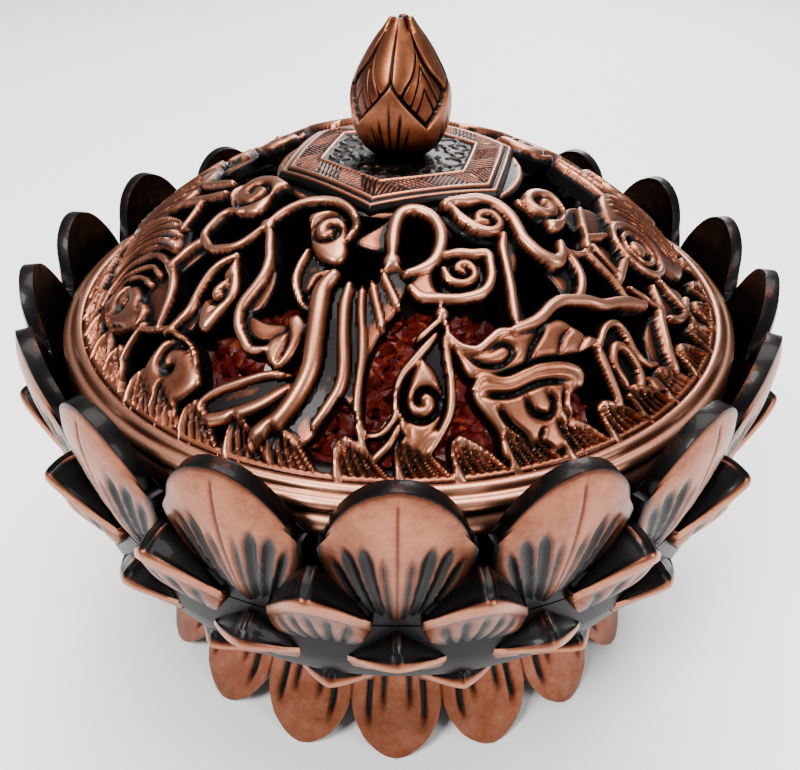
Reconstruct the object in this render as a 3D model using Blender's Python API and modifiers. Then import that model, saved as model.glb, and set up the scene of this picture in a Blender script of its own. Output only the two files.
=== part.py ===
"""Lotus incense burner: a round bowl with a pierced, domed lid, in four rings of cast lotus petals
on a petalled foot.

Runs in Blender 4.5 with: blender --background --python part.py
Metres, +Z up, front towards -Y. The origin is the middle of the foot, on the surface it stands on.
"""

import math

import bmesh
import bpy
from mathutils import Matrix, Vector

GAP = 0.0003  # between pieces that touch

# Bowl
BOWL_RADIUS = 0.0509
BOWL_DEPTH = 0.0472
BOWL_WALL = 0.0022
BOWL_FULLNESS = 2.2  # 2 is a half ellipse, more is squarer
RIM_BEAD_RADIUS = 0.0016
BOSS_RADIUS = 0.0060
BOSS_HEIGHT = 0.0060

# Height of the bowl's underside above the surface
BOWL_CLEAR_OF_GROUND = 0.0130

# Petal rings: each collar is threaded over the bowl from below, and sits on the next one
PETALS = 18
COLLAR_HEIGHT = 0.0067
COLLAR_DROP = 0.0095  # from the bowl's seat down to the first collar
ROOT_BITE = 0.0008  # how far a petal's root is sunk in its collar
WIDEST_AT = 0.6  # share of a petal's length at which it reaches its full width
COLLAR_LEDGE = 0.0040  # greatest width of a collar's top, outside the bowl
BORE_POINTS = 6  # points down a collar's bore, which follows the bowl

# Foot
FOOT_DISH_WALL = 0.0032
FOOT_RING_HEIGHT = 0.0030  # upright outer face of the dish
FOOT_FLAT_MARGIN = 0.0040  # flat underside of the dish, outside the bowl's bottom
FOOT_TOE_REACH = 0.0097  # from the root of a toe out to its tip
FOOT_ROOT_RADIUS = BOWL_RADIUS - 0.0129  # to the root of a toe
FOOT_TOE_WIDTH = 0.0146
FOOT_TOE_WALL = 0.0024
FOOT_TOE_DROP = 0.0022  # from the dish's top edge down to the root of a toe
FOOT_TOE_BEND = (0.3, 0.6)  # a toe's bend, as shares of its reach and of its height

# Lid
DOME_RADIUS = 0.0495
DOME_HEIGHT = 0.0230
DOME_WALL = 0.0022
LID_BEAD_RADIUS = 0.0017
LID_BEAD_INSET = 0.0007  # from the bowl's mouth radius out to the middle of the lid's bead
LIP_WALL = 0.0018
LIP_DEPTH = 0.0030
LIP_CLEARANCE = 0.0007  # all round, between the lid's lip and the bowl
EDGE_RISE = 0.00135  # from the middle of the lid's bead up to the dome's edge
# Rows of openings: distance from the axis, count, half width round the dome, half width up it,
# and turn in openings
OPENWORK_ROWS = [
    (0.0435, 18, 0.0038, 0.0038, 0.0),
    (0.0350, 18, 0.0033, 0.0031, 0.5),
    (0.0265, 12, 0.0042, 0.0034, 0.25),
]
OPENING_SIDES = 7

# Top plate
PLATE_RADIUS = 0.0187  # to its corners
PLATE_THICKNESS = 0.0012
PLATE_CROWN = 0.0008  # rise from the plate's edge to its middle
PLATE_TURN = math.radians(17.35)
PLATE_BEVEL = 0.0004
PLATE_SEAT_CLEARANCE = 0.0005

# Bud on top
BUD_RADIUS = 0.0072
BUD_HEIGHT = 0.0190
BUD_NECK_RADIUS = 0.0036
BUD_WIDEST = 0.41  # share of the bud's height below its widest place

# Screws
SCREW_RADIUS = 0.0020
SCREW_HOLE_CLEARANCE = 0.0003
SCREW_HEAD_RADIUS = 0.0038
SCREW_HEAD_HEIGHT = 0.0024
SCREW_CHAMFER = 0.0006
SCREW_GRIP = 0.0055  # how far a screw goes into its blind hole
SLOT_WIDTH = 0.0008
SLOT_DEPTH = 0.0010
WASHER_RADIUS = 0.0052
WASHER_THICKNESS = 0.0008
LOCK_WASHER_RADIUS = 0.0040

# Filling
MAT_RADIUS = 0.0270
MAT_THICKNESS = 0.0025
STONE_LEVEL = 0.0340  # the top of the stones, above the surface the burner stands on
STONE_CROWN = 0.0012  # rise of the heap from the bowl's wall to its middle
FILL_CLEARANCE = 0.0008

# Faces round a turned piece
ROUND_STEPS = 36
SMALL_STEPS = 24

RED_COPPER = ((0.53, 0.28, 0.18, 1.0), 0.95, 0.33)
FOOT_COPPER = ((0.42, 0.18, 0.10, 1.0), 0.95, 0.36)
DARK_CAST = ((0.05, 0.04, 0.04, 1.0), 0.90, 0.38)
ZINC = ((0.62, 0.62, 0.63, 1.0), 1.00, 0.35)
FELT = ((0.80, 0.79, 0.74, 1.0), 0.00, 0.95)
RED_STONE = ((0.30, 0.015, 0.010, 1.0), 0.00, 0.15)

SEAT_Z = BOWL_CLEAR_OF_GROUND + BOWL_DEPTH
SCREW_HOLE_RADIUS = SCREW_RADIUS + SCREW_HOLE_CLEARANCE
TOE_PITCH = 2 * math.pi / PETALS


# ---------------------------------------------------------------- scene and helpers


def clear_scene():
    for obj in list(bpy.data.objects):
        bpy.data.objects.remove(obj, do_unlink=True)


def new_collection(name):
    collection = bpy.data.collections.new(name)
    bpy.context.scene.collection.children.link(collection)
    return collection


def principled(name, finish):
    colour, metallic, roughness = finish
    material = bpy.data.materials.new(name)
    material.use_nodes = True
    shader = material.node_tree.nodes["Principled BSDF"]
    shader.inputs["Base Color"].default_value = colour
    shader.inputs["Metallic"].default_value = metallic
    shader.inputs["Roughness"].default_value = roughness
    return material


def add_object(name, mesh, finish, collection):
    obj = bpy.data.objects.new(name, mesh)
    collection.objects.link(obj)
    mesh.materials.append(principled(name, finish))
    return obj


def as_cutter(obj):
    """A helper that only shapes other pieces."""
    obj.hide_render = True
    obj.display_type = "WIRE"
    return obj


def turned(name, profile, finish, collection, steps=ROUND_STEPS, closed=False):
    """A profile of (radius, height) points turned about the Z axis. The points run down the outer side."""
    bm = bmesh.new()
    points = [bm.verts.new((radius, 0.0, height)) for radius, height in profile]
    for first, second in zip(points, points[1:]):
        bm.edges.new((first, second))
    if closed:
        bm.edges.new((points[-1], points[0]))
    mesh = bpy.data.meshes.new(name)
    bm.to_mesh(mesh)
    bm.free()
    obj = add_object(name, mesh, finish, collection)
    screw = obj.modifiers.new("Turn", "SCREW")
    screw.axis = "Z"
    screw.steps = steps
    screw.render_steps = steps
    screw.use_merge_vertices = True
    screw.merge_threshold = 0.00001
    screw.use_smooth_shade = True
    return obj


def boolean(obj, other, operation):
    modifier = obj.modifiers.new(operation.title(), "BOOLEAN")
    modifier.operation = operation
    modifier.object = other
    return modifier


def arc(centre, radius, start, end, count):
    """Points on an arc in the profile's plane, angles in degrees from +R towards +Z."""
    angles = [math.radians(start + (end - start) * i / (count - 1)) for i in range(count)]
    return [(centre[0] + radius * math.cos(a), centre[1] + radius * math.sin(a)) for a in angles]


# ---------------------------------------------------------------- bowl


def bowl_curve(height, radius, depth):
    """Radius of a bowl of this mouth radius and depth, at a height under the seat."""
    share = min(max((SEAT_Z - height) / depth, 0.0), 1.0)
    return radius * math.sqrt(1.0 - share**BOWL_FULLNESS)


def bowl_outside(height):
    return bowl_curve(height, BOWL_RADIUS, BOWL_DEPTH)


def bowl_inside(height):
    return bowl_curve(height, BOWL_RADIUS - BOWL_WALL, BOWL_DEPTH - BOWL_WALL)


def wall_points(curve, low, high, count):
    """(radius, height) points up a curve, closer together near the bottom where it turns in."""
    heights = [low + (high - low) * (i / (count - 1)) ** 1.6 for i in range(count)]
    return [(curve(height), height) for height in heights]


def bowl(collection):
    floor = BOWL_CLEAR_OF_GROUND + BOWL_WALL
    boss_top = BOWL_CLEAR_OF_GROUND + BOWL_WALL + BOSS_HEIGHT
    hole_top = BOWL_CLEAR_OF_GROUND + SCREW_GRIP + GAP
    bead = (BOWL_RADIUS + 0.5 * RIM_BEAD_RADIUS, SEAT_Z - RIM_BEAD_RADIUS)
    under_bead = bead[1] - RIM_BEAD_RADIUS
    inside = [p for p in wall_points(bowl_inside, floor, SEAT_Z, 10) if p[0] > BOSS_RADIUS]
    outside = wall_points(bowl_outside, BOWL_CLEAR_OF_GROUND, under_bead, 8)[::-1]
    outside = [p for p in outside if p[0] > 2 * SCREW_HOLE_RADIUS]
    profile = [(0.0, boss_top), (BOSS_RADIUS, boss_top), (BOSS_RADIUS, floor + GAP)]
    profile += inside
    profile += arc(bead, RIM_BEAD_RADIUS, 90, -75, 6)
    profile += outside
    profile += [
        (SCREW_HOLE_RADIUS, BOWL_CLEAR_OF_GROUND),
        (SCREW_HOLE_RADIUS, hole_top),
        (0.0, hole_top),
    ]
    return turned("bowl", profile, DARK_CAST, collection)


# ---------------------------------------------------------------- petals


def collar_top(number):
    """Height of the top of a collar, numbered from 0 at the top of the stack."""
    return SEAT_Z - COLLAR_DROP - number * (COLLAR_HEIGHT + GAP)


def ring_line(number, root, bend, tip):
    """Root, bend and tip of a petal on this collar, as (radius, height) points.

    Each is given as its distance outside the bowl's mouth and its height: the root's above the
    collar's bottom, and the bend's and the tip's above the collar's top.
    """
    top = collar_top(number)
    heights = (top - COLLAR_HEIGHT + root[1], top + bend[1], top + tip[1])
    return [(BOWL_RADIUS + out, height) for (out, _), height in zip((root, bend, tip), heights)]


class Petal:
    """A petal whose front face's middle line is a curve from its root, round its bend, to its tip.

    The line is those three as (radius, height) points.
    """

    def __init__(self, line, width, root_width, wall, cup, round_tip, cells):
        self.line = line
        self.width = width
        self.root_width = root_width
        self.wall = wall
        self.cup = cup
        self.round_tip = round_tip
        self.cells = cells

    def middle(self, t):
        """Point and outward normal of the middle line at t, from 0 at the root to 1 at the tip."""
        root, bend, tip = (Vector(p) for p in self.line)
        point = root * (1 - t) ** 2 + bend * 2 * t * (1 - t) + tip * t**2
        along = (bend - root) * (1 - t) + (tip - bend) * t
        return point, Vector((along.y, -along.x)).normalized()

    def place(self, s, t, back):
        """(across, radius, height) of a point: s runs from -1 to 1 across, t from root to rim."""
        t = t * (1.0 - self.round_tip * s * s)
        point, normal = self.middle(t)
        spread = math.sin(0.5 * math.pi * min(t / WIDEST_AT, 1.0))
        across = s * 0.5 * (self.root_width + (self.width - self.root_width) * spread)
        point = point - normal * (self.cup * s * s)
        if back:
            point = point - normal * self.wall
        return across, point.x, point.y


def petal_wreath(name, petal, phase, collection):
    """All the petals of one ring, as separate closed bodies in one helper object."""
    bm = bmesh.new()
    across_cells, along_cells = petal.cells
    for index in range(PETALS):
        azimuth = (index + phase) * TOE_PITCH
        grid = bmesh.ops.create_grid(bm, x_segments=across_cells, y_segments=along_cells, size=1.0)
        fronts = grid["verts"]
        faces = list({face for vertex in fronts for face in vertex.link_faces})
        shares = [(vertex.co.x, 0.5 * (vertex.co.y + 1.0)) for vertex in fronts]
        grown = bmesh.ops.extrude_face_region(bm, geom=faces)["geom"]
        backs = [item for item in grown if isinstance(item, bmesh.types.BMVert)]
        back_shares = [(vertex.co.x, 0.5 * (vertex.co.y + 1.0)) for vertex in backs]
        placed = [(v, s, t, False) for v, (s, t) in zip(fronts, shares)]
        placed += [(v, s, t, True) for v, (s, t) in zip(backs, back_shares)]
        for vertex, s, t, back in placed:
            across, radius, height = petal.place(s, t, back)
            outward = Vector((math.sin(azimuth), -math.cos(azimuth), 0.0))
            sideways = Vector((math.cos(azimuth), math.sin(azimuth), 0.0))
            vertex.co = outward * radius + sideways * across + Vector((0.0, 0.0, height))
    bmesh.ops.recalc_face_normals(bm, faces=bm.faces)
    mesh = bpy.data.meshes.new(name)
    bm.to_mesh(mesh)
    bm.free()
    return as_cutter(add_object(name, mesh, RED_COPPER, collection))


PETAL_1 = Petal(
    line=ring_line(0, (0.0028, 0.0007), (0.0085, 0.0085), (0.0066, 0.0199)),
    width=0.0180,
    root_width=0.0060,
    wall=0.0020,
    cup=0.0007,
    round_tip=0.42,
    cells=(4, 3),
)
PETAL_2 = Petal(
    line=ring_line(1, (0.0036, 0.0012), (0.0087, 0.0015), (0.0103, 0.0107)),
    width=0.0150,
    root_width=0.0080,
    wall=0.0018,
    cup=0.0003,
    round_tip=0.40,
    cells=(4, 3),
)
PETAL_3 = Petal(
    line=ring_line(2, (0.0014, 0.0012), (0.0062, -0.0027), (0.0076, 0.0033)),
    width=0.0130,
    root_width=0.0100,
    wall=0.0016,
    cup=0.0003,
    round_tip=0.55,
    cells=(2, 3),
)
PETAL_4 = Petal(
    line=ring_line(3, (-0.0050, 0.0010), (0.0005, -0.0050), (0.0028, -0.0016)),
    width=0.0120,
    root_width=0.0100,
    wall=0.0016,
    cup=0.0003,
    round_tip=0.60,
    cells=(2, 3),
)
PETAL_RINGS = [(PETAL_1, 0.0), (PETAL_2, 0.5), (PETAL_3, 0.0), (PETAL_4, 0.5)]


def bore_radius(height):
    """Radius of a collar's bore, a gap away from the bowl both sideways and up."""
    return bowl_outside(height + GAP) + GAP


def petal_ring(number, petal, phase, collection, cutters):
    top = collar_top(number)
    bottom = top - COLLAR_HEIGHT
    outer = petal.place(0.0, 0.0, True)[1] + ROOT_BITE
    outer_top = min(outer, bowl_outside(top) + COLLAR_LEDGE)
    profile = [(outer_top, top), (outer, 0.5 * (top + bottom)), (outer, bottom)]
    profile += wall_points(bore_radius, bottom, top, BORE_POINTS)
    ring = turned(f"petal_ring_{number + 1}", profile, RED_COPPER, collection, closed=True)
    wreath = petal_wreath(f"petals_{number + 1}", petal, phase, cutters)
    boolean(ring, wreath, "UNION")
    return ring


# ---------------------------------------------------------------- foot


def toe_shape(top):
    """A toe is a petal that points down, from its root under the collars to its tip on the ground."""
    share_out, share_up = FOOT_TOE_BEND
    root = (FOOT_ROOT_RADIUS, top - FOOT_TOE_DROP)
    bend = (FOOT_ROOT_RADIUS + share_out * FOOT_TOE_REACH, share_up * top)
    tip = (FOOT_ROOT_RADIUS + FOOT_TOE_REACH, 0.0)
    return Petal(
        line=[root, bend, tip],
        width=FOOT_TOE_WIDTH,
        root_width=0.8 * FOOT_TOE_WIDTH,
        wall=-FOOT_TOE_WALL,
        cup=-0.0004,
        round_tip=0.30,
        cells=(2, 3),
    )


def foot(collection, cutters):
    top = collar_top(len(PETAL_RINGS) - 1) - COLLAR_HEIGHT - GAP
    under_bowl = BOWL_CLEAR_OF_GROUND - GAP
    dish_bottom = under_bowl - FOOT_DISH_WALL
    inside = [
        (radius + GAP, height - GAP)
        for radius, height in wall_points(bowl_outside, BOWL_CLEAR_OF_GROUND, top + GAP, 6)
        if radius > 2 * SCREW_HOLE_RADIUS
    ]
    outer = FOOT_ROOT_RADIUS + ROOT_BITE
    flat_radius = bowl_outside(BOWL_CLEAR_OF_GROUND + FOOT_RING_HEIGHT) + FOOT_FLAT_MARGIN
    profile = [(SCREW_HOLE_RADIUS, under_bowl)] + inside
    profile += [
        (outer, top),
        (outer, top - FOOT_RING_HEIGHT),
        (flat_radius, dish_bottom),
        (SCREW_HOLE_RADIUS, dish_bottom),
    ]
    obj = turned("foot", profile, FOOT_COPPER, collection, closed=True)
    toes = petal_wreath("toes", toe_shape(top), 0.0, cutters)
    boolean(obj, toes, "UNION")
    below = bpy.data.meshes.new("ground_block")
    bm = bmesh.new()
    bmesh.ops.create_cube(bm, size=1.0, matrix=Matrix.Translation((0, 0, -0.5)))
    bm.to_mesh(below)
    bm.free()
    block = as_cutter(add_object("ground_block", below, ZINC, cutters))
    boolean(obj, block, "DIFFERENCE")
    return obj


# ---------------------------------------------------------------- screws and washers


def washer(name, radius, height, thickness, collection):
    profile = [
        (SCREW_HOLE_RADIUS, height),
        (radius, height),
        (radius, height - thickness),
        (SCREW_HOLE_RADIUS, height - thickness),
    ]
    return turned(name, profile, ZINC, collection, SMALL_STEPS, closed=True)


def screw(name, head_top, tip, collection, cutters):
    """A pan-head screw that points up, with a slot across its head's underside."""
    head_bottom = head_top - SCREW_HEAD_HEIGHT
    profile = [
        (0.0, tip),
        (SCREW_RADIUS - SCREW_CHAMFER, tip),
        (SCREW_RADIUS, tip - SCREW_CHAMFER),
        (SCREW_RADIUS, head_top),
        (SCREW_HEAD_RADIUS, head_top),
        (SCREW_HEAD_RADIUS, head_bottom + SCREW_CHAMFER),
        (SCREW_HEAD_RADIUS - SCREW_CHAMFER, head_bottom),
        (0.0, head_bottom),
    ]
    obj = turned(name, profile, ZINC, collection, SMALL_STEPS)
    mesh = bpy.data.meshes.new(name + "_slot")
    bm = bmesh.new()
    size = Matrix.Diagonal((3 * SCREW_HEAD_RADIUS, SLOT_WIDTH, 2 * SLOT_DEPTH, 1.0))
    bmesh.ops.create_cube(bm, size=1.0, matrix=Matrix.Translation((0, 0, head_bottom)) @ size)
    bm.to_mesh(mesh)
    bm.free()
    slot = as_cutter(add_object(name + "_slot", mesh, ZINC, cutters))
    boolean(obj, slot, "DIFFERENCE")
    return obj


def base_fastener(collection, cutters):
    dish_bottom = BOWL_CLEAR_OF_GROUND - GAP - FOOT_DISH_WALL
    washer_top = dish_bottom - GAP
    lock_top = washer_top - WASHER_THICKNESS - GAP
    head_top = lock_top - WASHER_THICKNESS - GAP
    washer("base_washer", WASHER_RADIUS, washer_top, WASHER_THICKNESS, collection)
    washer("base_lock_washer", LOCK_WASHER_RADIUS, lock_top, WASHER_THICKNESS, collection)
    screw("base_screw", head_top, BOWL_CLEAR_OF_GROUND + SCREW_GRIP, collection, cutters)


# ---------------------------------------------------------------- filling


def heat_mat(collection):
    bottom = BOWL_CLEAR_OF_GROUND + BOWL_WALL + BOSS_HEIGHT + GAP
    top = bottom + MAT_THICKNESS
    radius = min(MAT_RADIUS, bowl_inside(bottom) - FILL_CLEARANCE)
    profile = [(0.0, top), (radius, top), (radius, bottom), (0.0, bottom)]
    return turned("heat_mat", profile, FELT, collection, 36)


def stone_bed(collection):
    bottom = BOWL_CLEAR_OF_GROUND + BOWL_WALL + BOSS_HEIGHT + MAT_THICKNESS + 2 * GAP
    top = max(STONE_LEVEL, bottom + STONE_CROWN)
    heights = (top, 0.5 * (top + bottom), bottom)
    edge = [(bowl_inside(height) - FILL_CLEARANCE, height) for height in heights]
    profile = [(0.0, top + STONE_CROWN), (0.6 * edge[0][0], top + 0.7 * STONE_CROWN)]
    profile += edge
    profile += [(0.0, bottom)]
    return turned("stone_bed", profile, RED_STONE, collection, 36)


# ---------------------------------------------------------------- lid

LID_BOTTOM = SEAT_Z + GAP
BEAD_CENTRE = (BOWL_RADIUS + LID_BEAD_INSET, LID_BOTTOM + LID_BEAD_RADIUS)
DOME_EDGE_Z = BEAD_CENTRE[1] + EDGE_RISE
SPHERE_RADIUS = (DOME_RADIUS**2 + DOME_HEIGHT**2) / (2 * DOME_HEIGHT)
SPHERE_Z = DOME_EDGE_Z + DOME_HEIGHT - SPHERE_RADIUS
PLATE_SEAT_RADIUS = PLATE_RADIUS + PLATE_SEAT_CLEARANCE


def sphere_z(radius, shell=0.0):
    """Height of the dome's outer face, or of a face this far inside it, at a distance from the axis."""
    return SPHERE_Z + math.sqrt((SPHERE_RADIUS - shell) ** 2 - radius**2)


PLATE_SEAT_Z = sphere_z(PLATE_SEAT_RADIUS) - PLATE_THICKNESS - GAP
PLATE_UNDER_Z = PLATE_SEAT_Z - DOME_WALL


def dome_profile():
    inner_radius = SPHERE_RADIUS - DOME_WALL
    flat_radius = math.sqrt(inner_radius**2 - (PLATE_UNDER_Z - SPHERE_Z) ** 2)
    lip_outer = BOWL_RADIUS - BOWL_WALL - LIP_CLEARANCE
    lip_inner = lip_outer - LIP_WALL
    lip_bottom = SEAT_Z - LIP_DEPTH
    count = 6
    shares = [i / (count - 1) for i in range(count)]
    outside = [PLATE_SEAT_RADIUS + (DOME_RADIUS - PLATE_SEAT_RADIUS) * share for share in shares]
    inside = [lip_inner + (flat_radius - lip_inner) * share for share in shares[1:]]
    profile = [(SCREW_HOLE_RADIUS, PLATE_SEAT_Z), (PLATE_SEAT_RADIUS, PLATE_SEAT_Z)]
    profile += [(radius, sphere_z(radius)) for radius in outside]
    profile += arc(BEAD_CENTRE, LID_BEAD_RADIUS, 90, -90, 6)
    profile += [(lip_outer, LID_BOTTOM), (lip_outer, lip_bottom), (lip_inner, lip_bottom)]
    profile += [(lip_inner, sphere_z(lip_inner, DOME_WALL))]
    profile += [(radius, sphere_z(radius, DOME_WALL)) for radius in inside]
    profile += [(SCREW_HOLE_RADIUS, PLATE_UNDER_Z)]
    return profile


def openwork_cutter(collection):
    """Prisms that point at the centre of the dome's sphere, in three staggered rows."""
    bm = bmesh.new()
    for distance, count, half_across, half_along, phase in OPENWORK_ROWS:
        tilt = math.asin(distance / SPHERE_RADIUS)
        for index in range(count):
            turn = (index + phase) * 2 * math.pi / count
            place = (
                Matrix.Translation((0.0, 0.0, SPHERE_Z))
                @ Matrix.Rotation(turn, 4, "Z")
                @ Matrix.Rotation(tilt, 4, "Y")
                @ Matrix.Translation((0.0, 0.0, SPHERE_RADIUS - 0.5 * DOME_WALL))
                @ Matrix.Diagonal((half_along, half_across, 1.0, 1.0))
            )
            bmesh.ops.create_cone(
                bm,
                cap_ends=True,
                segments=OPENING_SIDES,
                radius1=1.0,
                radius2=1.0,
                depth=4 * DOME_WALL,
                matrix=place,
            )
    mesh = bpy.data.meshes.new("openwork")
    bm.to_mesh(mesh)
    bm.free()
    return as_cutter(add_object("openwork", mesh, DARK_CAST, collection))


def lid_dome(collection, cutters):
    obj = turned("lid_dome", dome_profile(), RED_COPPER, collection, closed=True)
    boolean(obj, openwork_cutter(cutters), "DIFFERENCE")
    return obj


def lid_plate(collection):
    """The six-sided plate that lies in the dome's round seat."""
    bottom = PLATE_SEAT_Z + GAP
    edge_top = bottom + PLATE_THICKNESS
    hole = SCREW_HOLE_RADIUS / math.cos(math.pi / 6)
    profile = [
        (hole, edge_top + PLATE_CROWN),
        (BUD_RADIUS, edge_top + PLATE_CROWN),
        (PLATE_RADIUS - PLATE_BEVEL, edge_top),
        (PLATE_RADIUS, edge_top - PLATE_BEVEL),
        (PLATE_RADIUS, bottom),
        (hole, bottom),
    ]
    obj = turned("lid_plate", profile, RED_COPPER, collection, 6, closed=True)
    obj.rotation_euler.z = PLATE_TURN
    return obj


BUD_BOTTOM = PLATE_SEAT_Z + GAP + PLATE_THICKNESS + PLATE_CROWN + GAP


def bud_profile():
    widest = BUD_HEIGHT * BUD_WIDEST
    upper = BUD_HEIGHT - widest
    points = []
    for i in range(7):
        share = 1.0 - i / 6
        points.append((BUD_RADIUS * (1.0 - share**1.75), BUD_BOTTOM + widest + upper * share))
    for i in range(1, 6):
        share = 1.0 - i / 5
        swell = math.sin(0.5 * math.pi * share) ** 0.8
        points.append((BUD_NECK_RADIUS + (BUD_RADIUS - BUD_NECK_RADIUS) * swell, BUD_BOTTOM + widest * share))
    hole_top = BUD_BOTTOM + SCREW_GRIP + GAP
    return points + [(SCREW_HOLE_RADIUS, BUD_BOTTOM), (SCREW_HOLE_RADIUS, hole_top), (0.0, hole_top)]


def lid_bud(collection):
    return turned("lid_bud", bud_profile(), RED_COPPER, collection, 32)


def lid_fastener(collection, cutters):
    washer_top = PLATE_UNDER_Z - GAP
    head_top = washer_top - WASHER_THICKNESS - GAP
    washer("lid_washer", WASHER_RADIUS, washer_top, WASHER_THICKNESS, collection)
    screw("lid_screw", head_top, BUD_BOTTOM + SCREW_GRIP, collection, cutters)


def lid(collection, cutters):
    """The lid's pieces hang from one empty on the axis that the lid lifts along."""
    before = set(collection.objects)
    lid_dome(collection, cutters)
    lid_plate(collection)
    lid_bud(collection)
    lid_fastener(collection, cutters)
    axis = bpy.data.objects.new("lid_lift_axis", None)
    collection.objects.link(axis)
    for piece in set(collection.objects) - before - {axis}:
        piece.parent = axis


def main():
    clear_scene()
    burner = new_collection("lotus_incense_burner")
    cutters = new_collection("cutters")
    bowl(burner)
    for number, (petal, phase) in enumerate(PETAL_RINGS):
        petal_ring(number, petal, phase, burner, cutters)
    foot(burner, cutters)
    base_fastener(burner, cutters)
    heat_mat(burner)
    stone_bed(burner)
    lid(burner, cutters)


main()
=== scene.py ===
"""Lotus incense burner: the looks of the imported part, piece by piece.

The sizes in this file are in millimetres, in the part's own frame, and turn into metres as a mesh is made.
A place on the burner is often given as an azimuth in degrees, from the front towards the right.
"""

import math

import bpy
import numpy as np
from bpy.props import FloatProperty, FloatVectorProperty, IntProperty, PointerProperty
from bpy.types import Operator, Panel, PropertyGroup
from mathutils import Matrix, Vector


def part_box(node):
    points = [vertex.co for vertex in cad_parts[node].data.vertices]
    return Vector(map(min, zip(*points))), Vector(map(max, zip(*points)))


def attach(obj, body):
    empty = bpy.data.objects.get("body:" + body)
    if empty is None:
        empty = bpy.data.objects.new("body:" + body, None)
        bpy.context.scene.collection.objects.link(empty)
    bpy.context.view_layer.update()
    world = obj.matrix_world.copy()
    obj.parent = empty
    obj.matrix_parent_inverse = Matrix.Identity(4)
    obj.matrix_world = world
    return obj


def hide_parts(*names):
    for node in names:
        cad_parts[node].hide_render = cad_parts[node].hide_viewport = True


bl_info = {
    "name": "Lotus incense burner",
    "version": (1, 0, 0),
    "blender": (4, 5, 0),
    "location": "View3D > Sidebar > Burner",
    "description": "Builds the finished pieces of a lotus incense burner round its frame",
    "category": "Object",
}

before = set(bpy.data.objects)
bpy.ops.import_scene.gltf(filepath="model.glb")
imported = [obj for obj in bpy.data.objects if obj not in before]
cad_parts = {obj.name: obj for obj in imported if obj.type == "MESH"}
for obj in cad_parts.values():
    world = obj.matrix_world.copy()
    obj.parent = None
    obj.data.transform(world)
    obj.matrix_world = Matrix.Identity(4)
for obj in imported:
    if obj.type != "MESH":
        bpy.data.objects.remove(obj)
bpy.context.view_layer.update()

MM = 0.001
PETALS = 18

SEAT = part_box("bowl")[1].z / MM
LID_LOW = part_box("lid_dome")[0].z / MM
PLATE_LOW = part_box("lid_plate")[0].z / MM
BUD_LOW, BUD_HIGH = (corner.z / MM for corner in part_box("lid_bud"))

DOME_RADIUS = 49.5
DOME_HEIGHT = 23.0
DOME_EDGE_Z = LID_LOW + 6.35
SPHERE_RADIUS = (DOME_RADIUS**2 + DOME_HEIGHT**2) / (2 * DOME_HEIGHT)
SPHERE_Z = DOME_EDGE_Z + DOME_HEIGHT - SPHERE_RADIUS
DOME_HALF_ANGLE = math.asin(DOME_RADIUS / SPHERE_RADIUS)

# The openwork is drawn on a flat plan that keeps distances from the dome's top. DOME_REACH is its edge there.
PLAN_SPHERE_RADIUS = 64.8
DOME_REACH = DOME_HALF_ANGLE * PLAN_SPHERE_RADIUS


# ---------------------------------------------------------------- mesh helpers


def select_only(*objects):
    bpy.ops.object.select_all(action="DESELECT")
    for obj in objects:
        obj.select_set(True)
    bpy.context.view_layer.objects.active = objects[0]


def edit(obj, steps):
    """Runs steps in edit mode with all of obj selected."""
    select_only(obj)
    bpy.ops.object.mode_set(mode="EDIT")
    bpy.ops.mesh.select_all(action="SELECT")
    steps()
    bpy.ops.object.mode_set(mode="OBJECT")


def points_of(obj):
    flat = np.empty(len(obj.data.vertices) * 3)
    obj.data.vertices.foreach_get("co", flat)
    return flat.reshape(-1, 3)


def set_points(obj, points):
    obj.data.vertices.foreach_set("co", np.asarray(points, float).ravel())
    obj.data.update()


def set_wear_and_shade(obj, wear_and_shade):
    """How bright the copper is at each point: 0 is black patina in a hollow, 1 is bare metal. On some pieces it also
    holds painted highlights and painted shade.
    """
    layer = obj.data.attributes.get("wear_and_shade") or obj.data.attributes.new("wear_and_shade", "FLOAT", "POINT")
    layer.data.foreach_set("value", np.clip(wear_and_shade, 0.0, 1.0).astype(np.float32))


def new_object(name, points, faces):
    mesh = bpy.data.meshes.new(name)
    mesh.from_pydata((np.asarray(points) * MM).tolist(), [], faces)
    mesh.update()
    obj = bpy.data.objects.new(name, mesh)
    bpy.context.scene.collection.objects.link(obj)
    return obj


def smooth(obj, angle):
    select_only(obj)
    bpy.ops.object.shade_smooth_by_angle(angle=math.radians(angle))


def apply_modifier(obj, kind, **settings):
    select_only(obj)
    modifier = obj.modifiers.new(kind.title(), kind)
    for key, value in settings.items():
        setattr(modifier, key, value)
    bpy.ops.object.modifier_apply(modifier=modifier.name)


def join(name, objects):
    select_only(*objects)
    if len(objects) > 1:
        bpy.ops.object.join()
    objects[0].name = name
    objects[0].data.name = name
    return objects[0]


def turned_copies(obj, count, phase=0.0):
    """obj turned by phase steps, and count - 1 more copies of it round the Z axis, each with its own mesh."""
    copies = [obj]
    for _ in range(count - 1):
        copy = obj.copy()
        copy.data = obj.data.copy()
        bpy.context.scene.collection.objects.link(copy)
        copies.append(copy)
    for index, copy in enumerate(copies):
        copy.data.transform(Matrix.Rotation((index + phase) * 2 * math.pi / count, 4, "Z"))
    return copies


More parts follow.
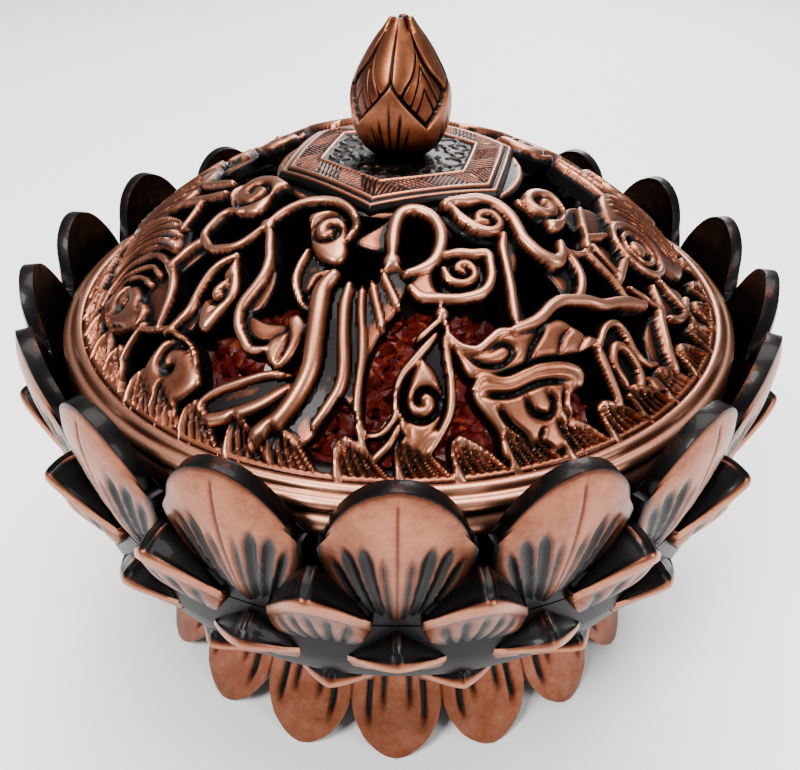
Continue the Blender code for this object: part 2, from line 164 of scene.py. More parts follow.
def turned(name, profile, steps, wear_and_shade=None):
    """A closed profile of (radius, height) points, in order, spun about the Z axis."""
    points = [(radius, 0.0, height) for radius, height in profile]
    obj = new_object(name, points, [])
    count = len(points)
    obj.data.edges.add(count)
    ends = [(i, (i + 1) % count) for i in range(count)]
    obj.data.edges.foreach_set("vertices", [i for pair in ends for i in pair])
    obj.data.update()

    def spin():
        bpy.ops.mesh.spin(steps=steps, angle=2 * math.pi, center=(0, 0, 0), axis=(0, 0, 1))
        bpy.ops.mesh.select_all(action="SELECT")
        bpy.ops.mesh.remove_doubles(threshold=1e-6)
        bpy.ops.mesh.dissolve_degenerate(threshold=1e-7)
        bpy.ops.mesh.select_all(action="SELECT")
        bpy.ops.mesh.normals_make_consistent(inside=False)

    edit(obj, spin)
    if wear_and_shade is not None:
        place = points_of(obj) / MM
        set_wear_and_shade(obj, wear_and_shade(np.hypot(place[:, 0], place[:, 1]), place[:, 2]))
    return obj


def arc(centre, radius, start, end, count):
    angles = np.radians(np.linspace(start, end, count))
    return [(centre[0] + radius * math.cos(a), centre[1] + radius * math.sin(a)) for a in angles]


def step(low, high, value):
    share = np.clip((value - low) / (high - low), 0.0, 1.0)
    return share * share * (3.0 - 2.0 * share)


def along(value, places, amounts):
    """Smooth interpolation through (place, amount) pairs."""
    places = np.asarray(places, float)
    amounts = np.asarray(amounts, float)
    slopes = np.gradient(amounts, places)
    value = np.clip(value, places[0], places[-1])
    index = np.clip(np.searchsorted(places, value) - 1, 0, len(places) - 2)
    width = places[index + 1] - places[index]
    u = (value - places[index]) / width
    return (
        (2 * u**3 - 3 * u**2 + 1) * amounts[index]
        + (u**3 - 2 * u**2 + u) * width * slopes[index]
        + (3 * u**2 - 2 * u**3) * amounts[index + 1]
        + (u**3 - u**2) * width * slopes[index + 1]
    )


def groove(distance, width, depth=1.0):
    return depth * np.exp(-((distance / (0.5 * width)) ** 2))


# ---------------------------------------------------------------- relief on a flat plan


LINE_STEP = 0.35
STRAND_TAPER = 0.25  # how much thinner an open strand gets at its ends
EDGE_DROP, EDGE_ROUNDING = 0.45, 0.55  # how far the face rounds down at the metal's edge, and over what width
EDGE_WEAR, EDGE_WEAR_WIDTH = 0.18, 0.5  # the wear at the very edge, and how far in it is felt
WALL_BREAK, WALL_WEAR = 0.12, 0.04  # how far down a wall its wear turns dark, as a share of it, and that wear


def curved_line(points, closed=False):
    """A smooth line through the points, cut into steps of about LINE_STEP."""
    p = np.asarray(points, float)
    if closed:
        p = np.vstack([p[-1], p, p[0], p[1]])
    else:
        p = np.vstack([2 * p[0] - p[1], p, 2 * p[-1] - p[-2]])
    out = []
    for a, b, c, d in zip(p, p[1:], p[2:], p[3:]):
        count = max(2, int(np.hypot(*(c - b)) / LINE_STEP))
        u = np.linspace(0.0, 1.0, count, endpoint=False)[:, None]
        out.append(
            0.5 * (2 * b + (c - a) * u + (2 * a - 5 * b + 4 * c - d) * u**2 + (3 * b - a - 3 * c + d) * u**3)
        )
    if closed:
        return np.vstack([*out, out[0][:1]])
    return np.vstack([*out, p[-2][None]])


def line_distance(x, y, line):
    """Distance from each point to the line, and how far along it the nearest place is, from 0 to 1."""
    start, run = line[:-1], np.diff(line, axis=0)
    length = np.maximum((run**2).sum(1), 1e-12)
    u = (x[:, None] - start[:, 0]) * run[:, 0] + (y[:, None] - start[:, 1]) * run[:, 1]
    u = np.clip(u / length, 0.0, 1.0)
    far = np.hypot(x[:, None] - start[:, 0] - u * run[:, 0], y[:, None] - start[:, 1] - u * run[:, 1])
    nearest = far.argmin(1)
    rows = np.arange(len(x))
    return far[rows, nearest], (nearest + u[rows, nearest]) / len(run)


def inside(x, y, line):
    """Whether each point is inside the closed line."""
    found = np.zeros(len(x), bool)
    for (ax, ay), (bx, by) in zip(line, line[1:]):
        if ay == by:
            continue
        crosses = (ay > y) != (by > y)
        found ^= crosses & (x < ax + (y - ay) * (bx - ax) / (by - ay))
    return found


class Relief:
    """A plan on a square grid: how far each place is inside the metal, and how high its face stands."""

    def __init__(self, low, high, cell, floor):
        self.cell = cell
        self.low = np.asarray(low, float)
        count = np.round((np.asarray(high) - low) / cell).astype(int) + 1
        self.x = (low[0] + cell * np.arange(count[0]))[:, None] * np.ones(count[1])
        self.y = (low[1] + cell * np.arange(count[1]))[None, :] * np.ones(count[0])[:, None]
        self.solid = np.full(self.x.shape, -9.0)
        self.height = np.full(self.x.shape, floor)
        self.brink = np.full(self.x.shape, floor)
        self.cut = np.zeros(self.x.shape)

    def window(self, line, margin):
        """The part of the grid within margin of a line's box."""
        first = np.floor((line.min(0) - margin - self.low) / self.cell).astype(int)
        last = np.ceil((line.max(0) + margin - self.low) / self.cell).astype(int) + 1
        first = np.clip(first, 0, self.x.shape)
        last = np.clip(last, 0, self.x.shape)
        return np.s_[first[0] : last[0], first[1] : last[1]]

    def place(self, at, solid, height, brink):
        """Adds metal. brink is how high the face stands where this metal ends."""
        self.brink[at] = np.where(solid > self.solid[at], brink, self.brink[at])
        self.solid[at] = np.maximum(self.solid[at], solid)
        self.height[at] = np.where(solid > 0.0, np.maximum(self.height[at], height), self.height[at])

    def near(self, points, margin, closed=False):
        """The places near a curved line, with their distance from it and how far along it they are, from 0 to 1."""
        line = curved_line(points, closed=closed)
        at = self.window(line, margin)
        far, share = line_distance(self.x[at].ravel(), self.y[at].ravel(), line)
        return at, far.reshape(self.x[at].shape), share.reshape(self.x[at].shape)

    def within(self, points):
        """The places about a closed line, with how far inside it they are."""
        line = curved_line(points, closed=True)
        at = self.window(line, self.cell)
        x, y = self.x[at].ravel(), self.y[at].ravel()
        far, _ = line_distance(x, y, line)
        return at, np.where(inside(x, y, line), far, -far).reshape(self.x[at].shape)

    def bead(self, points, width, rise=None, base=-0.3, closed=False):
        """A rounded strand along a line, a little thinner at its ends."""
        radius = 0.5 * width
        at, far, share = self.near(points, radius + self.cell, closed)
        if not closed:
            radius = radius * (1.0 - STRAND_TAPER * (1.0 - np.minimum(1.0, 8.0 * np.minimum(share, 1.0 - share))))
        rise = width * 0.55 if rise is None else rise
        height = base + rise * np.sqrt(np.clip(1.0 - (far / radius) ** 2, 0.0, 1.0))
        self.place(at, radius - far, height, base)

    def patch(self, points, height, soft=0.0, base=-0.6):
        """A flat or cushioned area inside a closed line."""
        at, solid = self.within(points)
        face = np.full(solid.shape, float(height))
        if soft:
            share = np.clip(solid / soft, 0.0, 1.0)
            face = base + (height - base) * np.sqrt(1.0 - (1.0 - share) ** 2)
        self.place(at, solid, face, base if soft else height)

    def carve(self, points, width, depth):
        """A groove along a line, shallower at its ends."""
        at, far, share = self.near(points, 1.6 * width)
        depth = depth * np.minimum(1.0, 0.35 + 5.0 * np.minimum(share, 1.0 - share))
        self.cut[at] = np.maximum(self.cut[at], groove(far, width, depth))

    def face(self, height, solid):
        """The height of the face, with its edges rounded down and its grooves cut."""
        return height - self.cut - EDGE_DROP * (1.0 - np.clip(solid / EDGE_ROUNDING, 0.0, 1.0)) ** 2

    def wear_and_shade(self, reach=1.1, lift=0.64, gain=0.8, empty=-1.8):
        """Bright where the face stands above what is round it, dark where it lies below or slopes."""
        filled = np.where(self.solid > 0.0, self.face(self.height, self.solid), empty)
        slope = np.hypot(*np.gradient(filled, self.cell))
        slope = np.minimum(blurred(slope, 1), 1.5) * (self.solid > 0.0)
        return lift + gain * (filled - blurred(filled, max(1, int(reach / self.cell)))) - 0.2 * slope

    def mesh(self, name, lift, drop, wear_and_shade, flat_back=False):
        """Cuts the grid along the metal's edge and gives it a face, walls and a back.

        lift(x, y, height) gives a face point, and drop(x, y) the back's point under it.
        """
        x, y, solid = self.x.copy(), self.y.copy(), self.solid.copy()
        slope_x, slope_y = np.gradient(solid, self.cell)
        steep = np.maximum(slope_x**2 + slope_y**2, 1e-6)
        near = (np.abs(solid) < 0.3 * self.cell * np.sqrt(steep)) & (steep > 0.05)
        near[0, :] = near[-1, :] = near[:, 0] = near[:, -1] = False
        x[near] -= (solid * slope_x / steep)[near]
        y[near] -= (solid * slope_y / steep)[near]
        solid[near] = 0.0
        height = self.face(np.where(near, self.brink, self.height), solid).ravel()
        nx, ny = x.shape
        corner = (np.arange(nx - 1)[:, None] * ny + np.arange(ny - 1)).ravel()
        halves = [(corner, corner + ny, corner + ny + 1), (corner, corner + ny + 1, corner + 1)]
        tris = np.vstack([np.stack(half, 1) for half in halves])
        x, y, solid = x.ravel(), y.ravel(), solid.ravel()
        brink, wear_and_shade = self.brink.ravel(), wear_and_shade.ravel()
        kept = solid >= 0.0
        count = kept[tris].sum(1)
        faces = tris[count == 3].tolist()
        split = {}
        extra = []

        def on_edge(a, b):
            """The point where the metal's edge crosses from a, inside, to b, outside."""
            if solid[a] == 0.0:
                return a
            key = (a, b)
            if key not in split:
                split[key] = len(x) + len(extra)
                extra.append((a, b, solid[a] / (solid[a] - solid[b])))
            return split[key]

        for tri in tris[(count == 1) | (count == 2)].tolist():
            ring = []
            for a, b in zip(tri, tri[1:] + tri[:1]):
                if kept[a]:
                    ring.append(a)
                if kept[a] != kept[b]:
                    ring.append(on_edge(a, b) if kept[a] else on_edge(b, a))
            ring = [p for i, p in enumerate(ring) if p != ring[i - 1]]
            if len(ring) >= 3:
                faces.append(ring)
        if extra:
            a, b, share = (np.array(column) for column in zip(*extra))
            a, b = a.astype(int), b.astype(int)
            x = np.append(x, x[a] + share * (x[b] - x[a]))
            y = np.append(y, y[a] + share * (y[b] - y[a]))
            height = np.append(height, np.where(solid[b] > -2 * self.cell, brink[b], brink[a]) - EDGE_DROP)
            wear_and_shade = np.append(wear_and_shade, wear_and_shade[a])
            solid = np.append(solid, np.zeros(len(a)))
        used = np.unique(np.fromiter((p for face in faces for p in face), int))
        index = np.full(len(x), -1)
        index[used] = np.arange(len(used))
        x, y, height, wear_and_shade, solid = x[used], y[used], height[used], wear_and_shade[used], solid[used]
        wear_and_shade = EDGE_WEAR + (wear_and_shade - EDGE_WEAR) * np.clip(solid / EDGE_WEAR_WIDTH, 0.0, 1.0)
        faces = [[int(index[p]) for p in face] for face in faces]
        borders = set()
        for face in faces:
            borders.update(zip(face, face[1:] + face[:1]))
        borders = sorted((a, b) for a, b in borders if (b, a) not in borders)
        total = len(x)
        top = np.stack(lift(x, y, height), 1)
        under = np.stack(drop(x, y), 1)
        middle = top + WALL_BREAK * (under - top)
        walls = [[b, a, a + total, b + total] for a, b in borders]
        walls += [[b + total, a + total, a + 2 * total, b + 2 * total] for a, b in borders]
        if flat_back:
            following = dict(borders)
            ring = [borders[0][0]]
            while following[ring[-1]] != ring[0]:
                ring.append(following[ring[-1]])
            backs = [[p + 2 * total for p in ring[::-1]]]
        else:
            backs = [[p + 2 * total for p in face[::-1]] for face in faces]
        obj = new_object(name, np.vstack([top, middle, under]), faces + walls + backs)
        set_wear_and_shade(obj, np.append(wear_and_shade, np.full(2 * total, WALL_WEAR)))
        edit(obj, lambda: bpy.ops.mesh.delete_loose())
        return obj


def blurred(values, reach):
    """Three passes of a moving average, along both axes."""
    for _ in range(3):
        for axis in (0, 1):
            pad = [(0, 0), (0, 0)]
            pad[axis] = (reach + 1, reach)
            total = np.cumsum(np.pad(values, pad, mode="edge"), axis=axis)
            size = 2 * reach + 1
            ends = np.take(total, range(size, total.shape[axis]), axis=axis)
            starts = np.take(total, range(0, total.shape[axis] - size), axis=axis)
            values = (ends - starts) / size
    return values


# ---------------------------------------------------------------- the lid's openwork

# Each place is (azimuth in degrees, per cent of the way from the lid's middle to the dome's edge).
# The front half is drawn, and the back half is the same work turned half round.

STRANDS = [
    # (width, places): the round strands, from left to right
    (1.4, [(-60, 70), (-66, 70.5), (-71, 75), (-73, 81), (-72, 88), (-70, 92)]),
    (1.2, [(-60, 73), (-65, 73.5), (-69, 78), (-71, 83), (-70.5, 89)]),
    (1.2, [(-60.5, 76.5), (-65, 77.5), (-68.5, 81), (-69, 86), (-68, 90)]),
    (1.4, [(-58, 81.5), (-55.5, 82), (-54.5, 85), (-56, 87.5)]),
    (1.5, [(-60, 70), (-56, 70.5), (-52, 74), (-50, 78), (-48.5, 82)]),
    (1.5, [(-84, 72), (-92, 68), (-98, 62)]),
    (1.5, [(-85, 75), (-94, 73), (-101, 70)]),
    (1.5, [(-85, 78), (-93, 80), (-100, 82)]),
    (1.4, [(-80, 55), (-74, 58), (-70, 62)]),
    (1.6, [(-80, 46), (-88, 53), (-95, 60)]),
    (1.6, [(-74, 48), (-78, 53), (-84, 60), (-85, 66)]),
    (1.7, [(-43.5, 47), (-43, 42), (-41, 38.5), (-38, 36), (-34, 34.5), (-29, 33.8), (-24, 34.2), (-19, 35.8),
           (-16, 38.5), (-14.8, 42), (-15.5, 45)]),
    (1.6, [(-43.5, 47), (-45, 53), (-47, 56), (-50, 58), (-53, 59.5), (-57, 59), (-60, 58), (-62, 54),
           (-62.5, 51), (-61, 49), (-57, 48)]),
    (1.5, [(-58, 59), (-59.5, 63), (-59.5, 67), (-60, 70)]),
    (1.7, [(-43.5, 47), (-40, 49), (-37, 52), (-34.5, 55), (-33, 59), (-33, 63), (-33.5, 67), (-33, 70),
           (-31.5, 73), (-29, 75.5), (-27, 77), (-24, 76)]),
    (1.5, [(-43.5, 57.5), (-46, 61), (-46.5, 65), (-45.5, 70), (-44.5, 74), (-45, 78), (-46, 82)]),
    (1.3, [(-53, 85.5), (-50, 83.5), (-46.5, 81), (-42, 80.8), (-38, 82), (-35, 85.5)]),
    (1.3, [(-53, 84), (-53, 90), (-52, 96)]),
    (3.0, [(-15.5, 56), (-17, 60), (-16.3, 66), (-15.5, 72), (-15, 78), (-16, 84), (-18, 90), (-20.5, 94),
           (-21, 97)]),
    (1.3, [(-20.5, 60), (-20, 56.5), (-17.5, 55), (-15.8, 55.5)]),
    (1.8, [(-11.5, 57.5), (-11.5, 63), (-10.5, 70), (-9.5, 76), (-9.5, 81), (-11, 86), (-12.5, 90)]),
    (1.2, [(-8.5, 57.5), (-8, 63), (-7, 69), (-6.5, 75), (-6.5, 85), (-5.5, 89), (-4.5, 91)]),
    (1.2, [(-6.5, 56), (-5, 61), (-3, 68)]),
    (1.2, [(-4.5, 53), (-2, 58), (0, 62.5)]),
    (1.3, [(-4.5, 91), (-2.5, 90.5), (-0.6, 87), (-0.3, 83), (0.5, 78), (3, 74), (7, 69)]),
    (1.3, [(-18, 80.5), (-22, 81), (-26, 84), (-30, 88), (-32, 92), (-33.5, 96)]),
    (2.2, [(-17.5, 83), (-22, 88.5), (-27, 93), (-30, 95)]),
    (1.4, [(-16, 84.5), (-19, 88), (-20.5, 92), (-21, 96)]),
    (1.3, [(-25.5, 50), (-25.5, 55), (-24.5, 59), (-21.5, 63), (-18.5, 65.5)]),
    (2.2, [(-2, 50), (-2, 43), (-1, 38), (1, 35.5), (5, 34.5), (9, 35.5), (12, 38), (13, 42), (12, 46),
           (10, 49.5), (8, 51.5), (5, 53), (2, 54)]),
    (1.8, [(9.5, 50), (12.5, 49.3), (16, 49), (20, 49.8), (24, 50.5), (23.5, 53), (22, 57), (19, 60), (14, 61),
           (9, 60.5), (5, 60), (2.5, 57.5)]),
    (1.5, [(11, 53), (12, 56), (15, 57.2), (18, 56), (18.3, 53.2), (16.5, 52), (14.5, 53), (15.8, 54.5)]),
    (1.3, [(8.5, 62), (8.5, 65), (6, 67.5), (3.5, 70)]),
    (1.3, [(9, 66), (9.5, 70)]),
    (2.4, [(19, 33.5), (23, 33), (28, 33.5), (33, 34), (37, 36), (39, 38.5), (39.3, 42), (38, 46), (37, 49),
           (37.5, 53), (39, 56), (41, 57.8), (43.5, 57), (46, 54.5)]),
    (1.7, [(21, 34.5), (22, 38), (25, 42), (28, 44), (31, 44.5), (34, 43), (34.5, 40), (32, 38.7), (29, 39),
           (27.5, 40.7), (30, 41.8)]),
    (1.8, [(32, 46.5), (29, 50), (27, 55), (25.5, 60), (24, 65), (23, 69.5)]),
    (1.9, [(46, 54.5), (45.5, 60), (44, 64), (41, 67), (38.5, 68.5)]),
    (1.3, [(46, 56), (49, 58.5), (53, 60)]),
    (2.2, [(22, 70.5), (26, 70), (29, 69), (32, 67.5), (35, 67), (38, 68), (41, 69.5), (44, 72), (48, 73.5),
           (51, 75), (54, 78)]),
    (1.6, [(9, 69), (11, 72), (14, 73.3), (17, 71.5), (19, 70.3), (22, 70.5)]),
    (1.5, [(12, 82), (14, 79.5), (18, 81), (24, 79.8), (29, 81), (31.3, 83.5), (30.5, 86)]),
    (1.4, [(7, 69), (3, 74), (0.5, 78), (-0.3, 83), (0.7, 88), (1.5, 92), (2, 95.5)]),
    (1.4, [(8.5, 70), (8.6, 75), (8.7, 80), (8, 86), (6.5, 90), (4.5, 94), (2.5, 97)]),
    (1.6, [(0, 89), (-1, 92), (-3.5, 96)]),
    (1.5, [(-6, 89), (-5, 93), (-4, 96)]),
    (1.7, [(37, 80), (36.5, 87), (36, 93), (35, 96)]),
    (1.5, [(37.5, 80), (41, 77), (44, 77), (45, 80), (44.5, 85), (45.5, 89), (47.5, 90.5)]),
    (1.5, [(39, 91), (38.8, 85), (41, 81.7), (43, 84), (43, 90), (41, 93.5), (38.5, 93)]),
    (1.9, [(57, 82), (54, 87), (52, 91), (51, 95.5)]),
    (1.6, [(61.5, 77), (58.5, 82), (57, 84)]),
    (1.5, [(56, 59.5), (55, 64), (54.5, 69)]),
    (1.8, [(53, 70), (57, 68.5), (61, 67.5)]),
    (1.3, [(54.5, 72.5), (56.5, 77), (58, 81.5)]),
    (1.4, [(54, 59), (58, 56), (64, 52.5), (68, 51)]),
    (1.5, [(57, 56.5), (61, 58.5), (64, 60)]),
    (1.4, [(59.5, 85.5), (62, 88), (65.5, 89), (70, 88)]),
    (1.5, [(65.5, 77), (66, 85), (66, 94)]),
    (1.5, [(52, 59), (52, 64), (52, 70), (51, 75)]),
]

CUSHIONS = [
    # (height, softness, places): the broad rounded masses
    (0.55, 1.5, [(-33, 39.5), (-29, 37), (-24, 36.5), (-19.5, 38), (-17, 41), (-15.5, 45), (-14, 48.5), (-14.5, 51.5),
                 (-17, 53), (-21, 52), (-25, 49.5), (-28, 46), (-30.5, 43), (-33, 41.2)]),
    (0.55, 1.5, [(-75, 44), (-74, 38), (-69, 34.5), (-62, 33.5), (-56, 34), (-56, 38), (-52.5, 41), (-51, 45),
                 (-55, 48), (-61, 49), (-68, 48.5), (-73, 47.5)]),
    (0.5, 1.3, [(-43.5, 57.5), (-40, 60), (-36.5, 64), (-35.5, 67), (-36.5, 72), (-37.5, 77), (-40, 77), (-42, 73),
                (-43.3, 68), (-43, 64)]),
    (0.5, 1.4, [(-46, 86), (-45, 82.5), (-41, 81.5), (-37, 83), (-33.5, 87), (-34, 91), (-36.5, 95), (-41, 96.5),
                (-44, 95), (-46, 91)]),
    (0.7, 1.2, [(-4.5, 53), (-4, 50.5), (-2, 48.8), (0, 50.5), (2, 54), (1.5, 55), (-1, 52.8), (-3, 53.5)]),
    (0.55, 1.2, [(-24.5, 76), (-24, 73), (-22, 71), (-22.5, 68), (-20.5, 66), (-18, 68), (-17.5, 72), (-18.5, 77),
                 (-20.5, 80), (-23, 79)]),
    (0.35, 1.4, [(1.5, 56.5), (4, 54), (8, 51.5), (10, 49), (9, 53), (8.5, 57), (11, 60), (16, 60.5), (20, 60),
                 (18, 62.5), (8, 62), (3, 60.5)]),
    (0.45, 1.5, [(9, 70), (12, 73), (15, 73.5), (19, 70.5), (26, 71), (30, 70), (33, 70.5), (36, 75), (39, 79),
                 (36, 80), (30, 79.5), (25, 78.5), (18, 79.5), (12, 80), (10, 75)]),
    (0.5, 1.6, [(12, 81), (14, 79), (18, 80.5), (24, 79.5), (29, 80.5), (31.5, 83), (31, 86.5), (28.5, 88),
                (27.5, 92), (25.5, 97), (22, 99), (15, 98), (14.5, 92), (12.5, 87), (11.5, 83.5)]),
    (0.45, 1.2, [(1, 90), (7, 90), (4.5, 94.5), (2.5, 97), (1.5, 94)]),
    (0.5, 1.3, [(4.2, 74), (6.4, 78), (7, 83), (6.3, 88), (4.4, 92), (2.6, 95.5), (1.3, 92), (0.9, 86), (1.6, 79.5),
                (2.9, 75.5)]),
    (0.45, 1.0, [(43.5, 91), (46.5, 93), (47, 96.5), (44, 96)]),
    (0.5, 1.5, [(48, 38), (53, 37.5), (60, 37), (66, 39), (68, 43), (65, 47), (60, 50), (53, 51.5), (48.5, 50),
                (50, 46), (48, 43.5)]),
    (0.6, 1.5, [(-69, 90), (-68, 83), (-64, 79), (-60, 79.5), (-58, 82), (-55, 83), (-54.5, 86), (-57, 90),
                (-60, 92.5), (-66, 93)]),
    (0.45, 1.3, [(70, 60), (77, 56), (86, 56), (93, 60), (96, 68), (94, 78), (88, 85), (80, 87), (73, 84), (70, 76),
                 (72, 68)]),
]

WEBS = [
    # (height, places): flat metal between the strands
    (-0.75, [(-56, 60), (-60, 60), (-60.5, 65), (-61, 71), (-57.5, 71), (-56, 65)]),
    (-0.6, [(-38, 50), (-33, 54), (-29.5, 60), (-29.5, 67), (-33, 69), (-33.5, 60), (-36, 55)]),
    (-0.6, [(-33, 69), (-27, 69.5), (-22, 69), (-22, 73), (-27, 74.5), (-31, 73)]),
    (-0.6, [(-45, 70), (-42, 74), (-42, 79), (-47, 81), (-48, 77), (-46.5, 73)]),
    (-0.35, [(-21, 60), (-20.5, 57), (-18, 55), (-16, 54.5), (-14, 57), (-11, 57.5), (-8, 57.5), (-6, 56),
             (-4.5, 53), (-4, 50.5), (-2, 49), (0, 51), (2, 54), (2, 57), (0.3, 62), (-2, 66), (-3.5, 69), (-5, 74),
             (-5.5, 80), (-5.5, 88), (-9, 84), (-10, 86), (-13, 94), (-18, 97), (-22, 97), (-22, 92), (-17.5, 86),
             (-16.5, 80), (-18, 73), (-19, 66)]),
    (-0.55, [(-21, 80), (-27, 84), (-31, 89), (-33.5, 96), (-28, 96), (-21, 90), (-17, 83)]),
    (-0.7, [(-25, 50), (-20, 51), (-19, 58), (-19, 62), (-22, 63), (-25, 59)]),
    (-0.75, [(-14.5, 44), (-8, 38.5), (-3, 35), (-2, 43), (-4, 46), (-9, 46)]),
    (-0.75, [(11, 35), (16, 37), (18, 42), (14, 44), (12.5, 46), (12.5, 40)]),
    (-0.9, [(9, 53), (12, 49.5), (20, 50), (23.5, 52), (22, 57), (17, 60.5), (11, 60)]),
    (-0.9, [(17, 34), (38, 34), (38.5, 42), (37.5, 47), (30, 47.5), (24, 45), (19, 40)]),
    (-0.6, [(31, 46), (35, 48), (33, 53), (29, 58), (27, 65), (26, 70), (22, 70.5), (24, 62), (27, 52)]),
    (-0.8, [(37, 52), (39.5, 57), (44, 58), (44, 62), (41, 66), (38, 67), (38, 62)]),
    (-0.6, [(44, 71), (50, 73), (54, 77), (54, 80), (48, 76)]),
    (-0.8, [(7, 69), (10, 70), (9.5, 78), (9, 86), (5, 94), (2, 95), (0, 88), (0, 82), (2, 75)]),
    (-0.8, [(37, 80), (44, 78), (45, 84), (45.5, 90), (46, 96), (36, 97), (36.5, 88)]),
    (-0.6, [(7.5, 61), (9.5, 61), (9.8, 66), (8, 66)]),
    (-0.75, [(-60, 66), (-66, 62), (-73, 60), (-80, 63), (-86, 70), (-90, 78), (-86, 82), (-80, 85), (-76, 88),
             (-73, 91), (-72, 85), (-72, 79), (-68, 73), (-60, 70)]),
    (-0.75, [(-60, 70), (-54, 71), (-49, 78), (-50, 84), (-56, 84), (-60, 80), (-64, 76)]),
    (-0.75, [(53, 57), (58, 56), (62, 58), (62, 64), (60, 68), (55, 70), (52, 66)]),
    (-0.75, [(59, 82), (65, 80), (72, 84), (72, 89), (64, 90), (59, 87)]),
    (-0.75, [(50, 85), (56, 82), (54, 90), (52, 97), (47, 97)]),
    (-0.75, [(60, 50), (68, 48), (76, 54), (74, 60), (66, 60), (60, 56)]),
]

SPIRALS = [
    # (azimuth, per cent, radius, turns, turn at the start, width, depth): grooves wound into a cushion
    (-22.5, 43.5, 3.3, 1.5, 0.0, 0.9, 1.0),
    (-63.5, 41.5, 4.0, 1.4, 2.0, 0.9, 1.0),
    (-40.0, 67.5, 2.4, 1.2, 1.0, 0.9, 1.0),
    (57.5, 43.5, 3.6, 1.5, 3.0, 0.9, 1.0),
    (-41.0, 87.0, 2.9, 0.95, 0.4, 1.3, 1.3),
    (-63.0, 84.5, 2.8, 1.05, 0.9, 1.2, 1.3),
    (3.9, 83.5, 3.2, 1.5, 2.4, 0.9, 1.2),
]

RINGS = [
    # (azimuth, per cent, radius, width, rise): round strands
    (69.0, 69.0, 4.7, 1.5, 0.9),
    (69.0, 69.0, 2.9, 1.2, 0.8),
]

KNOBS = [
    # (azimuth, per cent, radius, height): round bosses
    (69.0, 69.0, 1.8, 0.9),
    (8.7, 64.3, 1.1, 0.8),
    (-43.5, 47.0, 1.3, 0.7),
    (-2.0, 50.5, 1.4, 0.9),
]

CARVINGS = [
    # (width, depth, places): grooves
    (0.8, 0.8, [(12, 74.5), (14.5, 77), (18, 77.5), (20.5, 75.2), (19, 73), (16.5, 74)]),
    (0.8, 0.8, [(22.5, 78.5), (24, 75.5), (26.5, 73), (28, 71.5)]),
    (0.7, 0.5, [(29, 78), (31, 75), (34, 73.5)]),
    (0.6, 0.5, [(33, 78.8), (35.5, 77), (37, 75.5)]),
    (0.9, 0.9, [(13.5, 83.5), (18, 84.3), (23.5, 83.2), (28.5, 84.5)]),
    (0.8, 0.9, [(15.5, 86.5), (16.5, 90), (18.5, 93.5), (19, 96.5)]),
    (0.9, 1.0, [(20.3, 85.5), (20.8, 89), (23.2, 90.5), (24.6, 88.2), (24.2, 85.5)]),
    (0.7, 0.8, [(27.6, 85.5), (26.2, 89), (26.4, 92.5), (25.2, 95.5)]),
    (0.6, 0.7, [(21.8, 92.5), (20.8, 95), (22.2, 97.5)]),
    (0.7, 0.7, [(-41, 63), (-39, 66), (-39, 72)]),
    (0.6, 0.6, [(-22, 69), (-20.5, 73), (-21, 78)]),
    (0.6, 0.6, [(-66, 90), (-61, 90.5), (-57, 88)]),
]

TUFTS = [-88, -81, -74, -66, -59, -53, -44, -38, -31, -22.5, -16, -6, 2.5, 10.5, 18.5, 27, 35, 42, 49, 58, 66, 74, 82]


def on_plan(places):
    azimuth, share = np.radians(np.asarray(places, float)[:, 0]), np.asarray(places, float)[:, 1] / 100.0
    return np.stack([np.sin(azimuth), -np.cos(azimuth)], 1) * (share * DOME_REACH)[:, None]


def ring_line(centre, radius, count=24):
    turn = np.linspace(0.0, 2 * math.pi, count, endpoint=False)
    return centre + radius * np.stack([np.cos(turn), np.sin(turn)], 1)


def spiral_line(centre, radius, turns, start):
    """A line that winds inwards, to a small eye."""
    share = np.linspace(1.0, 0.12, 26)
    turn = start + turns * 2 * math.pi * (1.0 - share)
    return centre + radius * share[:, None] * np.stack([np.cos(turn), np.sin(turn)], 1)


def on_sphere(x, y, height):
    """From the plan, where distances from the middle are kept, to the dome."""
    far = np.maximum(np.hypot(x, y), 1e-9)
    angle = far * DOME_HALF_ANGLE / DOME_REACH
    radius = SPHERE_RADIUS + height
    across = radius * np.sin(angle) / far
    return x * across, y * across, SPHERE_Z + radius * np.cos(angle)


def draw_openwork(relief, side):
    """Every part of the openwork, drawn once as it is (side 1) or turned half round (side -1)."""
    for height, places in WEBS:
        relief.patch(side * on_plan(places), height)
    for height, soft, places in CUSHIONS:
        relief.patch(side * on_plan(places), height, soft)
    for width, places in STRANDS:
        relief.bead(side * on_plan(places), width)
    for azimuth, share, radius, width, rise in RINGS:
        centre = side * on_plan([(azimuth, share)])[0]
        relief.bead(ring_line(centre, radius), width, rise=rise, base=0.0, closed=True)
    for azimuth, share, radius, height in KNOBS:
        centre = side * on_plan([(azimuth, share)])[0]
        relief.patch(ring_line(centre, radius, 12), height, soft=radius, base=-0.3)
    for azimuth, share, radius, turns, start, width, depth in SPIRALS:
        centre = side * on_plan([(azimuth, share)])[0]
        winding = side * spiral_line(side * centre, radius, turns, start)
        relief.carve(winding, width, depth)
    for width, depth, places in CARVINGS:
        relief.carve(side * on_plan(places), width, depth)
    for azimuth in TUFTS:
        relief.patch(side * on_plan(tuft_outline(azimuth)), 0.6, soft=0.9)
        for rib in range(4):
            run = [(azimuth - 2.6 + 1.2 * rib, 91.6 + 1.1 * rib), (azimuth - 1.8 + 1.45 * rib, 96.5 + 0.5 * rib),
                   (azimuth - 0.2 + 1.75 * rib, 102.0)]
            relief.carve(side * on_plan(run), 1.0, 0.85)


def tuft_outline(azimuth):
    """A leaf that leans to the right, from the dome's edge inwards."""
    return [(azimuth - 2.2, 102), (azimuth - 3.4, 97.0), (azimuth - 3.2, 92.4), (azimuth - 1.6, 90.8),
            (azimuth + 0.8, 92.6), (azimuth + 3.4, 96.2), (azimuth + 5.8, 102)]


